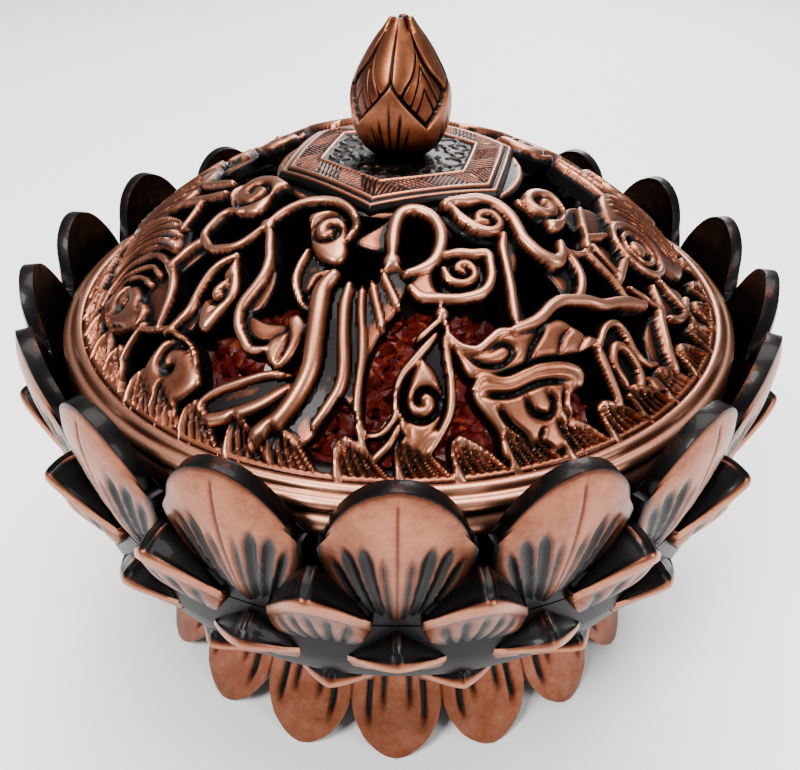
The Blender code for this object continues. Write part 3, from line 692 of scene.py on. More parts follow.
def scale_rows(relief, side, centre, region, pitch):
    """Rounded ripples about a centre, over the metal inside a closed line."""
    at, solid = relief.within(side * on_plan(region))
    middle = side * on_plan([centre])[0]
    away = np.hypot(relief.x[at] - middle[0], relief.y[at] - middle[1])
    ripple = 0.5 + 0.35 * np.cos(2 * math.pi * away / pitch)
    relief.place(at, solid - 0.3, ripple * np.clip(solid, 0, 1), 0.0)


LEFT_SCALES = [(-62, 66.5), (-67, 63), (-73, 61.5), (-80, 64), (-86, 70), (-89, 77), (-86, 81), (-80, 84), (-76, 87),
               (-73.5, 88), (-74.5, 81), (-72, 75), (-67, 69.5)]
RIGHT_SCALES = [(77, 62), (80, 58), (87, 57.5), (93, 62), (95, 70), (92, 79), (86, 84), (79, 85), (76, 81), (77, 72)]


# Shares of the way from the lid's middle to the dome's edge, and heights of the face there.
HUB_HOLE, HUB_STEP, HUB_EDGE = 0.29, 0.325, 0.345
HUB_LOW_HEIGHT, HUB_HEIGHT = -1.5, -1.2
BAND_EDGE, BAND_HEIGHT = 0.985, -0.55
PLAN_REACH = 1.03


def openwork(cell, wall):
    """The pierced dome, as two closed halves."""
    reach = DOME_REACH * PLAN_REACH
    count = math.ceil(reach / cell) + 1
    relief = Relief((-count * cell, -count * cell), (count * cell, 0.0), cell, HUB_HEIGHT)
    far = np.hypot(relief.x, relief.y)
    for side in (1, -1):
        draw_openwork(relief, side)
        scale_rows(relief, side, (-63.5, 84.0), LEFT_SCALES, 1.5)
        scale_rows(relief, side, (69.0, 69.0), RIGHT_SCALES, 1.6)
    everywhere = np.s_[:, :]
    hub = HUB_EDGE * DOME_REACH - far
    relief.place(everywhere, hub, HUB_HEIGHT, HUB_HEIGHT)
    relief.height = np.where((hub > 0) & (far < HUB_STEP * DOME_REACH), HUB_LOW_HEIGHT, relief.height)
    relief.place(everywhere, far - BAND_EDGE * DOME_REACH, BAND_HEIGHT, BAND_HEIGHT)
    relief.solid = np.minimum(relief.solid, reach - 0.2 - far)
    relief.solid = np.minimum(relief.solid, far - HUB_HOLE * DOME_REACH)
    wear_and_shade = relief.wear_and_shade()
    wear_and_shade = wear_and_shade * (1.0 - 0.85 * step(0.33, 0.315, far / DOME_REACH))

    def back_of(x, y):
        return on_sphere(x, y, np.full(len(x), -wall))

    front = relief.mesh("lid_openwork_front", on_sphere, back_of, wear_and_shade)
    smooth(front, 50)
    back = front.copy()
    back.data = front.data.copy()
    back.name = back.data.name = "lid_openwork_back"
    back.data.transform(Matrix.Rotation(math.pi, 4, "Z"))
    bpy.context.scene.collection.objects.link(back)
    return front, back


# ---------------------------------------------------------------- the lid's bead, plate and bud


def serrated(name, profile, notches, depth, wear_and_shade):
    """A turned ring whose outer skin goes in and out by depth, notches times round."""
    obj = turned(name, profile, notches * 2, wear_and_shade)
    place = points_of(obj) / MM
    radius = np.hypot(place[:, 0], place[:, 1])
    turn = np.arctan2(place[:, 1], place[:, 0])
    centre = np.mean([p[0] for p in profile]), np.mean([p[1] for p in profile])
    away = np.stack([radius - centre[0], place[:, 2] - centre[1]], 1)
    away /= np.maximum(np.hypot(away[:, 0], away[:, 1]), 1e-6)[:, None]
    shift = depth * np.cos(notches * turn) * (away[:, 1] > -0.2)
    scale = (radius + away[:, 0] * shift) / radius
    moved = place * np.stack([scale, scale, np.ones(len(scale))], 1)
    moved[:, 2] += away[:, 1] * shift
    set_points(obj, moved * MM)
    return obj


def lid_rim():
    """The two beads and the lip that the lid sits on the bowl with, and the milled ring inside the beads."""
    low = LID_LOW
    inner, inner_size = (50.75, low + 5.75), 0.85
    outer, outer_size = (52.25, low + 4.75), 0.95
    milled, milled_size = (49.5, low + 6.1), 0.62
    profile = [(46.2, low), (46.2, low + 5.6), (48.2, low + 6.9), (49.3, low + 6.4), (49.9, low + 5.8)]
    profile += arc(inner, inner_size, 165, 5, 12)
    profile += arc(outer, outer_size, 105, -80, 14)
    profile += [(51.6, low + 3.4), (48.0, low + 3.3), (48.0, low)]

    # Painted highlight: each bead is bright on its upper, outer side and dark underneath; the rest of the rim is
    # dark.
    def wear_and_shade(radius, height):
        lit = np.full(len(radius), 0.05)
        for centre, size in ((inner, inner_size), (outer, outer_size)):
            across, up = (radius - centre[0]) / size, (height - centre[1]) / size
            on_bead = np.abs(np.hypot(across, up) - 1.0) < 0.02
            lit = np.where(on_bead, 0.1 + 0.85 * step(-0.2, 0.75, 0.35 * across + 0.94 * up), lit)
        return lit

    def milled_ring_brightness(radius, height):
        # The milled ring is brighter on its top than lower down.
        return 0.2 + 0.5 * step(low + 6.2, low + 6.7, height)

    rim = turned("lid_rim", profile[::-1], 180, wear_and_shade)
    ring = serrated("milled_ring", arc(milled, milled_size, 0, -330, 12), 300, 0.1, milled_ring_brightness)
    smooth(rim, 60)
    smooth(ring, 60)
    return join("lid_rim", [rim, ring])


CLOUD_CURLS = [
    [(-24, 9.6), (-22, 10.4), (-13, 10.3), (-9, 9.2), (-14, 8.5), (-18, 8.9)],
    [(-8, 8.2), (-6, 9.6), (2, 10.2), (8, 9.6), (10, 8.6)],
    [(10, 7.4), (16, 9.2), (24, 9.8), (30, 8.8), (26, 7.8), (20, 8.2)],
    [(-30, 7.2), (-24, 7.0), (-18, 7.4), (-12, 6.9), (-6, 7.3), (0, 6.7)],
    [(-20, 5.8), (-10, 6.1), (0, 5.6), (8, 6.2), (14, 5.9)],
]


def six_sided(x, y, corner, turn):
    """How far inside a hexagon each place is, and how far it lies along the nearest side."""
    flat = corner * math.cos(math.pi / 6)
    best = np.full(np.shape(x), 1e9)
    place = np.zeros(np.shape(x))
    for index in range(6):
        a = turn + (index + 0.5) * math.pi / 3
        away = flat - (x * math.cos(a) + y * math.sin(a))
        sideways = -x * math.sin(a) + y * math.cos(a)
        nearer = away < best
        best = np.where(nearer, away, best)
        place = np.where(nearer, sideways, place)
    return best, place


RIM_GROOVE, RIM_BEAD = 1.15, 1.75  # measured in from the plate's edge
HATCH_START, HATCH_END = 2.0, 5.5
HATCH_ZONE, HATCH_PITCH = 4.4, 0.62
INNER_BEAD, INNER_GROOVE, MIDDLE_START = 5.75, 6.3, 6.2
CURL_WIDTH, CURL_HEIGHT = 0.5, 0.26


def top_plate(cell, corner, turn):
    """The six-sided plate: a double rim, a band of slanting hatching, and a dark middle with cloud curls."""
    count = math.ceil((corner + 0.6) / cell)
    relief = Relief((-count * cell, -count * cell), (count * cell, count * cell), cell, 0.0)
    edge, place = six_sided(relief.x, relief.y, corner, turn)
    relief.solid = edge = edge + 0.25 * (1.0 - (place / (0.5 * corner)) ** 2)
    height = 0.28 * step(0.0, 0.5, edge) - groove(edge - RIM_GROOVE, 0.5, 0.3) + groove(edge - RIM_BEAD, 0.5, 0.16)
    band = step(HATCH_START, HATCH_START + 0.2, edge) * step(HATCH_END, HATCH_END - 0.2, edge)
    zone = np.floor((place + 0.9 * (edge - 3.7)) / HATCH_ZONE) % 2
    lean = np.where(zone > 0, 1.0, -1.0)
    hatch = np.cos(2 * math.pi * (place * 0.8 + lean * edge * 0.62) / HATCH_PITCH)
    height += band * (0.1 * hatch - 0.06)
    height += groove(edge - INNER_BEAD, 0.55, 0.22) - groove(edge - INNER_GROOVE, 0.4, 0.12)
    relief.height = height - 0.25 * step(MIDDLE_START, MIDDLE_START + 0.4, edge)
    middle = relief.height.copy()
    for sixth in range(6):
        for curl in CLOUD_CURLS:
            azimuth = np.radians([a + 60.0 * sixth for a, _ in curl])
            far = np.array([r for _, r in curl])
            points = np.stack([np.sin(azimuth) * far, -np.cos(azimuth) * far], 1)
            at, away, _ = relief.near(points, 0.7)
            middle[at] = np.maximum(middle[at], relief.height[at] + groove(away, CURL_WIDTH, CURL_HEIGHT))
    relief.height = middle
    wear_and_shade = relief.wear_and_shade(reach=0.7, lift=0.62, gain=2.2, empty=0.1)
    wear_and_shade -= 0.42 * step(6.1, 6.7, edge) * (height >= middle - 0.02)
    wear_and_shade -= 0.3 * step(2.0, 2.3, edge) * step(5.6, 5.2, edge) * (hatch < 0)
    low, thickness, crown, crown_width = PLATE_LOW + 0.05, 1.0, 1.25, 7.0

    def lift(x, y, face):
        inward = np.clip((corner - np.hypot(x, y)) / crown_width, 0.0, 1.0)
        return x, y, low + thickness + crown * np.sin(0.5 * math.pi * inward) + face

    def drop(x, y):
        return x, y, np.full(len(x), low)

    plate = relief.mesh("top_plate", lift, drop, wear_and_shade, flat_back=True)
    smooth(plate, 50)
    return plate


BUD_LINE = [
    # (share of the height, radius)
    (0.0, 3.5), (0.035, 4.15), (0.09, 5.2), (0.17, 6.15), (0.27, 6.75), (0.38, 6.98), (0.5, 6.85), (0.6, 6.3),
    (0.7, 5.3), (0.78, 4.4), (0.86, 3.35), (0.93, 2.35), (1.0, 1.5),
]


def around(turn, centre, count):
    """Degrees from the nearest of count places round the bud."""
    pitch = 360.0 / count
    return (np.degrees(turn) - centre + 0.5 * pitch) % pitch - 0.5 * pitch


# Half widths of the tall petals, in degrees round the bud, at shares of its height.
TALL_PETAL_WIDTHS = ((0.0, 0.5, 0.57, 0.66, 0.82, 1.0), (8.0, 12.0, 18.0, 30.0, 43.0, 44.0))
CHEVRON_TOPS = (0.70, 0.56)
SEPAL_GROOVES = [
    # (degrees from the sepal's middle, shares of the height where the groove starts and ends)
    (0.0, 0.02, 0.5), (14.0, 0.02, 0.42), (-14.0, 0.02, 0.36), (27.0, 0.05, 0.3), (-27.0, 0.05, 0.3),
    (-20.0, 0.04, 0.26),
]
BUD_EYE = [
    # (share of the lip's radius inwards, depth under the lip, wear): the small hollow at the very top
    (0.45, 0.05, 0.5), (0.7, 0.5, 0.2), (0.85, 1.4, 0.05),
]


def lotus_bud(columns, rows):
    """The bud as one skin: four sepals over four ridged petals, under four tall petals with split tips."""
    turn = np.linspace(0.0, 2 * math.pi, columns, endpoint=False)
    t, s = np.meshgrid(np.linspace(0.0, 1.0, rows), turn, indexing="ij")
    z = BUD_LOW + (BUD_HIGH - BUD_LOW) * t
    tall = around(s, -13.0, 4)
    ridged = around(s, 32.0, 4)
    radius = along(t, *zip(*BUD_LINE))
    sepal_top = 0.6 - 0.31 * (np.abs(tall) / 45.0) ** 0.9
    on_sepal = step(-0.009, 0.006, sepal_top - t)
    bare = 1.0 - on_sepal
    tall_width = along(t, *TALL_PETAL_WIDTHS)
    tall_edge = tall_width - np.abs(tall)
    on_tall = step(-1.3, 1.3, tall_edge) * step(0.3, 0.4, t)
    seam = groove(tall, 3.2) * bare
    swell = np.cos(np.clip(np.abs(tall) / np.maximum(tall_width, 1.0), 0, 1) * math.pi / 2)

    relief = -0.35 + 0.4 * on_tall * bare + 0.75 * on_sepal
    relief -= groove(tall_edge, 4.0, 0.45) * bare * step(1.0, 0.86, t)
    relief -= groove(sepal_top - t + 0.016, 0.024, 0.3)
    relief -= 0.22 * seam * step(0.98, 0.9, t)
    relief += 0.25 * swell * on_tall * bare
    grooves = seam.copy()
    for apex in CHEVRON_TOPS:
        leg = apex - np.abs(ridged) * 0.0125
        line = groove(t - leg, 0.022) * (1.0 - on_tall) * bare
        relief -= 0.42 * line
        grooves = np.maximum(grooves, line)
    for place, low, high in SEPAL_GROOVES:
        depth, darkness = (0.16, 0.6) if place == 0.0 else (0.3, 1.0)
        drift = place * (0.55 + 0.9 * t)
        line = groove(tall - drift, 2.6) * step(low, low + 0.05, t) * step(high + 0.03, high - 0.12, t)
        relief -= depth * line * on_sepal
        grooves = np.maximum(grooves, line * on_sepal * darkness)
    z = z - 1.7 * groove(ridged, 26.0) * step(0.9, 1.0, t)
    radius = radius + relief * step(0.0, 0.06, t) * (1.0 - 0.55 * step(0.86, 1.0, t))

    edges = groove(tall_edge, 3.2) * bare * step(1.0, 0.9, t)
    below = groove(sepal_top - t + 0.014, 0.028)
    wear_and_shade = 0.72 + 0.2 * on_sepal * groove(sepal_top - t, 0.04) - 0.8 * grooves
    # The grooves by the tall petals' edges and under the sepals are dark, and the bud is made darker towards its
    # foot.
    wear_and_shade -= 0.75 * np.maximum(edges, below) + 0.7 * step(0.2, 0.04, t)
    wear_and_shade -= 0.12 * (1.0 - on_tall) * bare
    rings = [(0.35 * radius[:1], z[:1], np.full((1, columns), 0.05)), (radius, z, wear_and_shade)]
    for inward, down, shade in BUD_EYE:
        rings.append((radius[-1:] * (1.0 - inward), z[-1:] - down, np.full((1, columns), shade)))
    radius, z, wear_and_shade = (np.vstack([ring[i] for ring in rings]) for i in range(3))
    total = len(radius)
    points = np.stack([radius * np.sin(turn), -radius * np.cos(turn), z], 2).reshape(-1, 3)
    faces = []
    for row in range(total - 1):
        for column in range(columns):
            after = (column + 1) % columns
            faces.append((row * columns + column, row * columns + after,
                          (row + 1) * columns + after, (row + 1) * columns + column))
    faces.append(tuple(range(columns))[::-1])
    faces.append(tuple((total - 1) * columns + column for column in range(columns)))
    bud = new_object("lotus_bud", points, faces)
    set_wear_and_shade(bud, wear_and_shade.ravel())
    smooth(bud, 60)
    return bud


# ---------------------------------------------------------------- petals


def sheet_of(name, columns, rows, place, wear_and_shade, rim=0.0):
    """A closed sheet: a grid given a back by extrusion. place(s, t, back) gives each point, s across and t up."""
    bpy.ops.object.select_all(action="DESELECT")
    bpy.ops.mesh.primitive_grid_add(x_subdivisions=columns, y_subdivisions=rows, size=2.0)
    obj = bpy.context.object
    obj.name = obj.data.name = name
    edit(obj, lambda: bpy.ops.mesh.extrude_region_move(TRANSFORM_OT_translate={"value": (0.0, 0.0, 1.0)}))
    grid = points_of(obj)
    s, t, back = grid[:, 0], 0.5 * (grid[:, 1] + 1.0), grid[:, 2] > 0.5
    set_points(obj, np.stack(place(s, t, back), 1) * MM)
    set_wear_and_shade(obj, wear_and_shade(s, t, back))
    edit(obj, lambda: bpy.ops.mesh.normals_make_consistent(inside=False))
    if rim:
        apply_modifier(obj, "BEVEL", width=rim * MM, segments=2, limit_method="ANGLE", angle_limit=math.radians(55))
    smooth(obj, 60)
    return obj


def outward(across, radius, height):
    """A point of the front petal: across to the right, radius out along -Y."""
    return across, -radius, height


UPPER_LOW, UPPER_HEIGHT = 42.6, 27.5
UPPER_WIDTHS = ((0.0, 0.09, 0.36, 0.57, 0.75, 1.0), (3.6, 5.8, 8.3, 8.9, 9.0, 8.8))  # half widths at shares of it
UPPER_LINE = ((42.6, 48.0, 55.0, 62.0, 67.0, 70.1), (54.0, 56.2, 57.9, 58.8, 58.8, 58.2))  # radii at heights
UPPER_FLUTES = [
    # (share of the half width, where the flute ends going up, width, depth)
    (0.20, 0.70, 0.06, 0.35), (0.44, 0.76, 0.08, 0.7), (0.69, 0.74, 0.08, 0.65), (0.93, 0.64, 0.07, 0.5),
]


def upper_petal(columns, rows, thickness):
    """One of the tall round petals: smooth above, fluted below, with a dark inner face."""

    def shape(s, t):
        rise = along(t, *UPPER_WIDTHS)
        top = np.sqrt(np.clip(1.0 - 0.92 * s * s, 0.0, 1.0))
        lift = 1.0 - step(0.5, 1.0, t) * (1.0 - top) * 0.46
        height = UPPER_LOW + UPPER_HEIGHT * t * lift
        bend = along(height, *UPPER_LINE)
        shrink = 1.0 - 0.08 * step(0.8, 1.0, t)
        return s * rise * shrink, bend - 2.2 * s * s, height

    def flutes(s, t):
        cut = np.zeros(len(s))
        for place, start, width, depth in UPPER_FLUTES:
            ramp = step(start, start - 0.16, t)
            away = np.abs(s) - place * (0.45 + 0.72 * t)
            cut = np.maximum(cut, groove(away, 2 * width * (0.4 + 0.6 * ramp), depth * ramp))
        centre = groove(s, 0.05, 0.22) * step(0.97, 0.9, t)
        return np.maximum(cut, centre)

    def place(s, t, back):
        across, radius, height = shape(s, t)
        cut = flutes(s, t)
        rib = groove(np.abs(s) - 0.05, 0.08, 0.2)
        radius = np.where(back, radius - thickness + rib, radius - cut)
        return outward(across, radius, height)

    def wear_and_shade(s, t, back):
        # Painted highlight down the middle of the face, and painted shade towards its sides and its root.
        face = 0.80 - 0.14 * np.abs(s) - 1.3 * flutes(s, t) - 0.35 * step(0.25, 0.0, t)
        edge = np.maximum(step(0.90, 1.0, np.abs(s)), step(0.96, 1.0, t))
        face = face - 0.45 * edge
        return np.where(back, 0.06 + 0.3 * step(0.9, 1.0, t), face)

    return sheet_of("upper_petal", columns, rows, place, wear_and_shade, rim=0.35)


class Leaf:
    """A pointed petal that juts out: a roof behind its rim, and a fluted front under the rim.

    ridge, tip, side and under are the (radius, height) of the roof's top, of the rim's point, of the rim's ends
    and of the front's foot. flutes are (share of the half width, depth). Going down, the roof, the rim's band and
    the front each take a share of t.
    """

    ROOF, BAND = 0.42, 0.14
    FRONT = 1.0 - ROOF - BAND
    ROOF_DEPTH, FRONT_DEPTH = 1.2, 2.2

    def __init__(self, ridge, tip, side, under, half_width, foot_width, band, flutes, sharpness):
        self.ridge, self.tip, self.side, self.under = ridge, tip, side, under
        self.half_width, self.foot_width = half_width, foot_width
        self.band, self.flutes, self.sharpness = band, flutes, sharpness

    def curves(self, s):
        lean = np.abs(s) ** self.sharpness
        rim = [self.tip[i] + (self.side[i] - self.tip[i]) * lean for i in (0, 1)]
        inner = [self.ridge[i] + (self.side[i] - self.ridge[i]) * lean - (0.0, 0.2)[i] for i in (0, 1)]
        foot = [np.full(len(s), self.under[i]) for i in (0, 1)]
        return inner, rim, foot

    def place(self, s, t, back):
        inner, rim, foot = self.curves(s)
        u = np.clip(t / self.ROOF, 0.0, 1.0)
        v = np.clip((t - self.ROOF) / self.BAND, 0.0, 1.0)
        w = self.down_front(t)
        on_roof = t < self.ROOF
        radius = inner[0] + (rim[0] - inner[0]) * u
        height = inner[1] + (rim[1] - inner[1]) * u + 0.5 * np.sin(math.pi * u) * (1 - np.abs(s))
        rib = groove(np.abs(s) - 0.085, 0.1, 0.45) * step(1.0, 0.75, u) * on_roof
        height = height + rib + 0.35 * step(0.75, 0.95, u) * (1.0 - step(0.0, 0.3, v))
        round_over = np.sin(v * math.pi / 2)
        radius = radius + 0.35 * np.sin(math.pi * v) - 0.25 * v
        height = height - self.band * v * (0.4 + 0.6 * round_over)
        front = foot[0] - radius, foot[1] - height
        bulge = np.sin(math.pi * w) * 0.5
        radius = radius + front[0] * w + bulge - self.cut(s, w)
        height = height + front[1] * w
        width = self.half_width + (self.foot_width - self.half_width) * w**1.3
        radius = np.where(back, radius - np.where(on_roof, self.ROOF_DEPTH, self.FRONT_DEPTH), radius)
        height = np.where(back & on_roof, height - self.ROOF_DEPTH, height)
        return outward(s * width, radius, height)

    def down_front(self, t):
        """How far down the front each point is, from 0 to 1."""
        return np.clip((t - self.ROOF - self.BAND) / self.FRONT, 0.0, 1.0)

    def cut(self, s, w):
        cut = np.zeros(len(s))
        for place, depth in self.flutes:
            ramp = step(0.02, 0.3, w)
            cut = np.maximum(cut, groove(np.abs(s) - place, 0.13, depth * ramp))
        return cut

    def wear_and_shade(self, s, t, back):
        w = self.down_front(t)
        roof = 0.12 + 0.35 * groove(np.abs(s) - 0.085, 0.12, 1.0) * step(0.4, 0.2, t)
        rim = 0.88 * step(0.36, 0.42, t) * step(0.6, 0.54, t)
        # The front is made darker towards its foot.
        front = step(0.52, 0.58, t) * (0.68 - 1.3 * self.cut(s, w) - 0.5 * step(0.5, 1.0, w))
        return np.where(back, 0.03, np.maximum(np.maximum(roof * (t < self.ROOF), rim), front))

    def mesh(self, name, columns, rows):
        return sheet_of(name, columns, rows, self.place, self.wear_and_shade)


SECOND_LEAF = Leaf(ridge=(56.6, 56.4), tip=(61.0, 54.6), side=(55.8, 46.2), under=(55.6, 41.2), half_width=6.6,
                   foot_width=4.2, band=1.7, flutes=[(0.0, 0.5), (0.34, 0.6), (0.68, 0.55)], sharpness=1.6)
THIRD_LEAF = Leaf(ridge=(54.6, 43.0), tip=(58.5, 40.4), side=(54.6, 37.4), under=(53.0, 33.2), half_width=6.4,
                  foot_width=4.6, band=0.9, flutes=[(0.0, 0.35), (0.45, 0.4)], sharpness=1.5)
FOURTH_LEAF = Leaf(ridge=(49.4, 32.0), tip=(53.7, 28.6), side=(49.0, 26.2), under=(47.4, 22.2), half_width=5.6,
                   foot_width=4.2, band=0.8, flutes=[(0.0, 0.3)], sharpness=1.35)

COLLARS = {
    # ring: (inner radius top and bottom, outer radius top and bottom, top and bottom heights)
    1: (51.2, 50.6, 54.6, 54.8, 50.6, 44.2),
    2: (50.6, 49.4, 54.8, 55.0, 43.9, 37.0),
    3: (49.3, 46.6, 53.4, 52.4, 36.8, 30.0),
    4: (46.4, 40.5, 49.0, 46.4, 29.8, 23.0),
}


def collar(number):
    """The dark band that a ring's petals grow from."""
    inner_top, inner_low, outer_top, outer_low, top, low = COLLARS[number]
    shoulder = (outer_top + 0.2, 0.6 * top + 0.4 * low)
    profile = [(inner_top, top), (outer_top, top), shoulder, (outer_low, low), (inner_low, low)]
    obj = turned("collar", profile, 144, lambda radius, height: np.full(len(radius), 0.05))
    smooth(obj, 40)
    return obj


def wreath(name, petal, phase, number):
    """A whole ring: one petal copied round, joined with the collar it grows from."""
    petals = turned_copies(petal, PETALS, phase)
    return join(name, petals + [collar(number)])


# ---------------------------------------------------------------- foot


TOE_ROOT = 22.4
TOE_OUTLINE = ((0.0, 0.25, 0.49, 0.78, 0.93, 1.0), (0.0, 0.5, 1.7, 4.2, 6.8, 9.4))  # height over shares of its width
TOE_WIDTHS = ((0.0, 8.0, 13.0, TOE_ROOT), (7.5, 7.6, 7.1, 6.2))  # half widths at heights
TOE_LINE = ((0.0, 3.0, 7.0, 12.0, 17.0, TOE_ROOT), (47.7, 46.4, 44.0, 41.2, 39.3, 38.6))  # radii at heights
TOE_FLUTES = [
    # (share of the half width, where it starts and ends going up, depth)
    (0.30, 0.30, 0.95, 0.55), (0.62, 0.12, 0.98, 0.8),
]
TOE_DEPTH = 2.3


def foot_toe(columns, rows):
    """One toe: it flares down to a blunt point on the ground, with two long and two short grooves."""

    def flutes(s, t):
        cut = np.zeros(len(s))
        for place, low, high, depth in TOE_FLUTES:
            ramp = step(low, low + 0.14, t) * step(1.0, high - 0.1, t)
            cut = np.maximum(cut, groove(np.abs(s) - place * (1.0 - 0.12 * t), 0.11, depth * ramp))
        return cut

    def place(s, t, back):
        """t runs from the tip, on the ground, up to the root."""
        edge = along(np.abs(s), *TOE_OUTLINE)
        height = edge + (TOE_ROOT - edge) * t
        half = along(height, *TOE_WIDTHS)
        radius = along(height, *TOE_LINE) - 0.7 * s * s
        radius = np.where(back, radius - TOE_DEPTH, radius - flutes(s, t))
        return outward(s * half, radius, height)

    def wear_and_shade(s, t, back):
        # The face is made darker towards the root and along its side edges.
        face = 0.8 - 1.3 * flutes(s, t) - 0.35 * step(0.75, 1.0, t) - 0.35 * step(0.93, 1.0, np.abs(s))
        return np.where(back, 0.05, face)

    return sheet_of("toe", columns, rows, place, wear_and_shade, rim=0.4)


def foot_dish():
    """The shallow dish that the toes hang from."""
    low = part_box("foot")[0].z / MM + 8.6
    profile = [(2.3, low + 4.0), (20.0, low + 4.1), (31.0, low + 7.8), (38.0, TOE_ROOT), (38.8, 22.0), (38.4, 17.0),
               (34.0, low + 2.0), (27.0, low + 0.4), (2.3, low)]
    obj = turned("dish", profile, 144, lambda radius, height: np.full(len(radius), 0.06))
    smooth(obj, 40)
    return obj


# ---------------------------------------------------------------- bowl and its filling


BOWL_RADIUS, BOWL_DEPTH = 50.9, 47.2
BOWL_WALL = 2.2
HOLLOW_RADIUS, HOLLOW_DEPTH = 48.7, 45.0
RIM_RADIUS, RIM_SIZE = 51.7, 1.6
AXIS = 0.01  # a radius small enough to close a turned shape


def bowl_shell():
    """The bowl: a bright rounded rim on a cast shell painted near black as shade."""

    def wall(radius, depth, low, high, count):
        heights = low + (high - low) * np.linspace(0.0, 1.0, count) ** 1.6
        return [(radius * (1.0 - ((SEAT - h) / depth) ** 2.2) ** 0.5, h) for h in heights]

    base = SEAT - BOWL_DEPTH
    floor = base + BOWL_WALL
    profile = [(AXIS, floor)]
    profile += wall(HOLLOW_RADIUS, HOLLOW_DEPTH, floor + 0.1, SEAT - 0.3, 26)[1:]
    profile += [(48.8, SEAT), (51.0, SEAT)]
    profile += arc((RIM_RADIUS, SEAT - RIM_SIZE), RIM_SIZE, 95, -80, 18)
    profile += wall(BOWL_RADIUS, BOWL_DEPTH, base + 0.1, SEAT - 3.2, 26)[::-1][:-1]
    profile += [(AXIS, base)]

    def wear_and_shade(radius, height):
        # Painted shade: all of the shell but its rim is near black, standing in for the shade inside the bowl and
        # between the petals. The rim is bright, and darker on its lower side.
        on_rim = (radius > 50.7) & (height > SEAT - 3.3)
        return np.where(on_rim, 0.95 - 0.5 * step(SEAT - 2.0, SEAT - 3.2, height), 0.06)

    obj = turned("bowl_shell", profile, 180, wear_and_shade)
    smooth(obj, 50)
    return obj


BED_RADIUS = 40.5
CHIP_LAYER = 3.0  # how thick the layer is that the chips' centres lie in, starting CHIP_SINK under the level
CHIP_SINK = 2.6
CHIP_GAP = 2.0
CHIP_SIZES = (1.3, 2.8)
MOST_TRIES = 60000


def stone_chips(count, seed, level, lean):
    """Loose broken chips of red stone in the bowl, heaped higher towards -X."""
    draw = np.random.default_rng(seed)
    bpy.ops.object.select_all(action="DESELECT")
    bpy.ops.mesh.primitive_ico_sphere_add(subdivisions=1, radius=1.0)
    pattern = bpy.context.object
    unit = points_of(pattern)
    tris = np.array([p.vertices[:] for p in pattern.data.polygons])
    bpy.data.objects.remove(pattern, do_unlink=True)
    points, faces, centres = [], [], []
    for _ in range(MOST_TRIES):
        if len(centres) == count:
            break
        radius, turn = BED_RADIUS * math.sqrt(draw.random()), 2 * math.pi * draw.random()
        height = level - CHIP_SINK + CHIP_LAYER * draw.random() - lean * radius * math.cos(turn)
        centre = np.array([radius * math.cos(turn), radius * math.sin(turn), height])
        if centres:
            gap = np.array(centres) - centre
            gap[:, 2] *= 1.2
            if ((gap**2).sum(1) < CHIP_GAP**2).any():
                continue
        centres.append(centre)
        size = np.sort(draw.uniform(*CHIP_SIZES, 3)) * np.array([0.75, 1.0, 1.05])
        chip = unit * (1.0 + 0.22 * draw.uniform(-1.0, 1.0, (len(unit), 1))) * size
        spin, _ = np.linalg.qr(draw.normal(size=(3, 3)))
        if np.linalg.det(spin) < 0:
            spin[:, 0] *= -1
        points.append(chip @ spin.T + centre)
        faces.append(tris + len(unit) * (len(points) - 1))
    chips = new_object("chips", np.vstack(points), np.vstack(faces).tolist())
    smooth(chips, 25)
    top, low = level - 2.0, level - 6.5
    bed = turned("bed", [(AXIS, top), (BED_RADIUS, top), (BED_RADIUS - 3.0, low), (AXIS, low)], 96)
    place = points_of(bed)
    place[:, 2] -= lean * place[:, 0]
    set_points(bed, place)
    return join("stone_chips", [chips, bed])


# ---------------------------------------------------------------- finishes


class Finish:
    """A node material being built: its nodes, and short ways to add and link them."""

    def __init__(self, name):
        self.material = bpy.data.materials.new(name)
        self.material.use_nodes = True
        self.nodes = self.material.node_tree.nodes
        self.links = self.material.node_tree.links
        self.shader = self.nodes["Principled BSDF"]

    def add(self, kind, **settings):
        node = self.nodes.new(kind)
        for key, value in settings.items():
            setattr(node, key, value)
        return node

    def link(self, source, target):
        self.links.new(source, target)

    def coordinates(self):
        return self.add("ShaderNodeTexCoord").outputs["Object"]

    def noise(self, scale, detail, roughness=0.55):
        node = self.add("ShaderNodeTexNoise")
        node.inputs["Scale"].default_value = scale
        node.inputs["Detail"].default_value = detail
        node.inputs["Roughness"].default_value = roughness
        self.link(self.coordinates(), node.inputs["Vector"])
        return node.outputs["Fac"]

    def mapped(self, source, low, high):
        """0 to 1 made low to high."""
        node = self.add("ShaderNodeMapRange")
        node.inputs["To Min"].default_value = low
        node.inputs["To Max"].default_value = high
        self.link(source, node.inputs["Value"])
        return node.outputs["Result"]

    def math(self, operation, first, second):
        node = self.add("ShaderNodeMath", operation=operation)
        for socket, value in zip(node.inputs, (first, second)):
            if isinstance(value, (int, float)):
                socket.default_value = value
            else:
                self.link(value, socket)
        return node.outputs["Value"]

    def ramp(self, source, stops):
        node = self.add("ShaderNodeValToRGB")
        band = node.color_ramp
        while len(band.elements) < len(stops):
            band.elements.new(0.5)
        for element, (place, colour) in zip(band.elements, stops):
            element.position = place
            element.color = (*colour[:3], 1.0)
        self.link(source, node.inputs["Fac"])
        return node.outputs["Color"]

    def bump(self, source, strength, distance):
        node = self.add("ShaderNodeBump")
        node.inputs["Strength"].default_value = strength
        node.inputs["Distance"].default_value = distance
        self.link(source, node.inputs["Height"])
        self.link(node.outputs["Normal"], self.shader.inputs["Normal"])

    def set(self, **values):
        for key, value in values.items():
            socket = "IOR" if key == "ior" else key.replace("_", " ").title()
            self.shader.inputs[socket].default_value = value


def mixed(first, second, share):
    """A colour share of the way from first to second."""
    return [a + (b - a) * share for a, b in zip(first, second)]


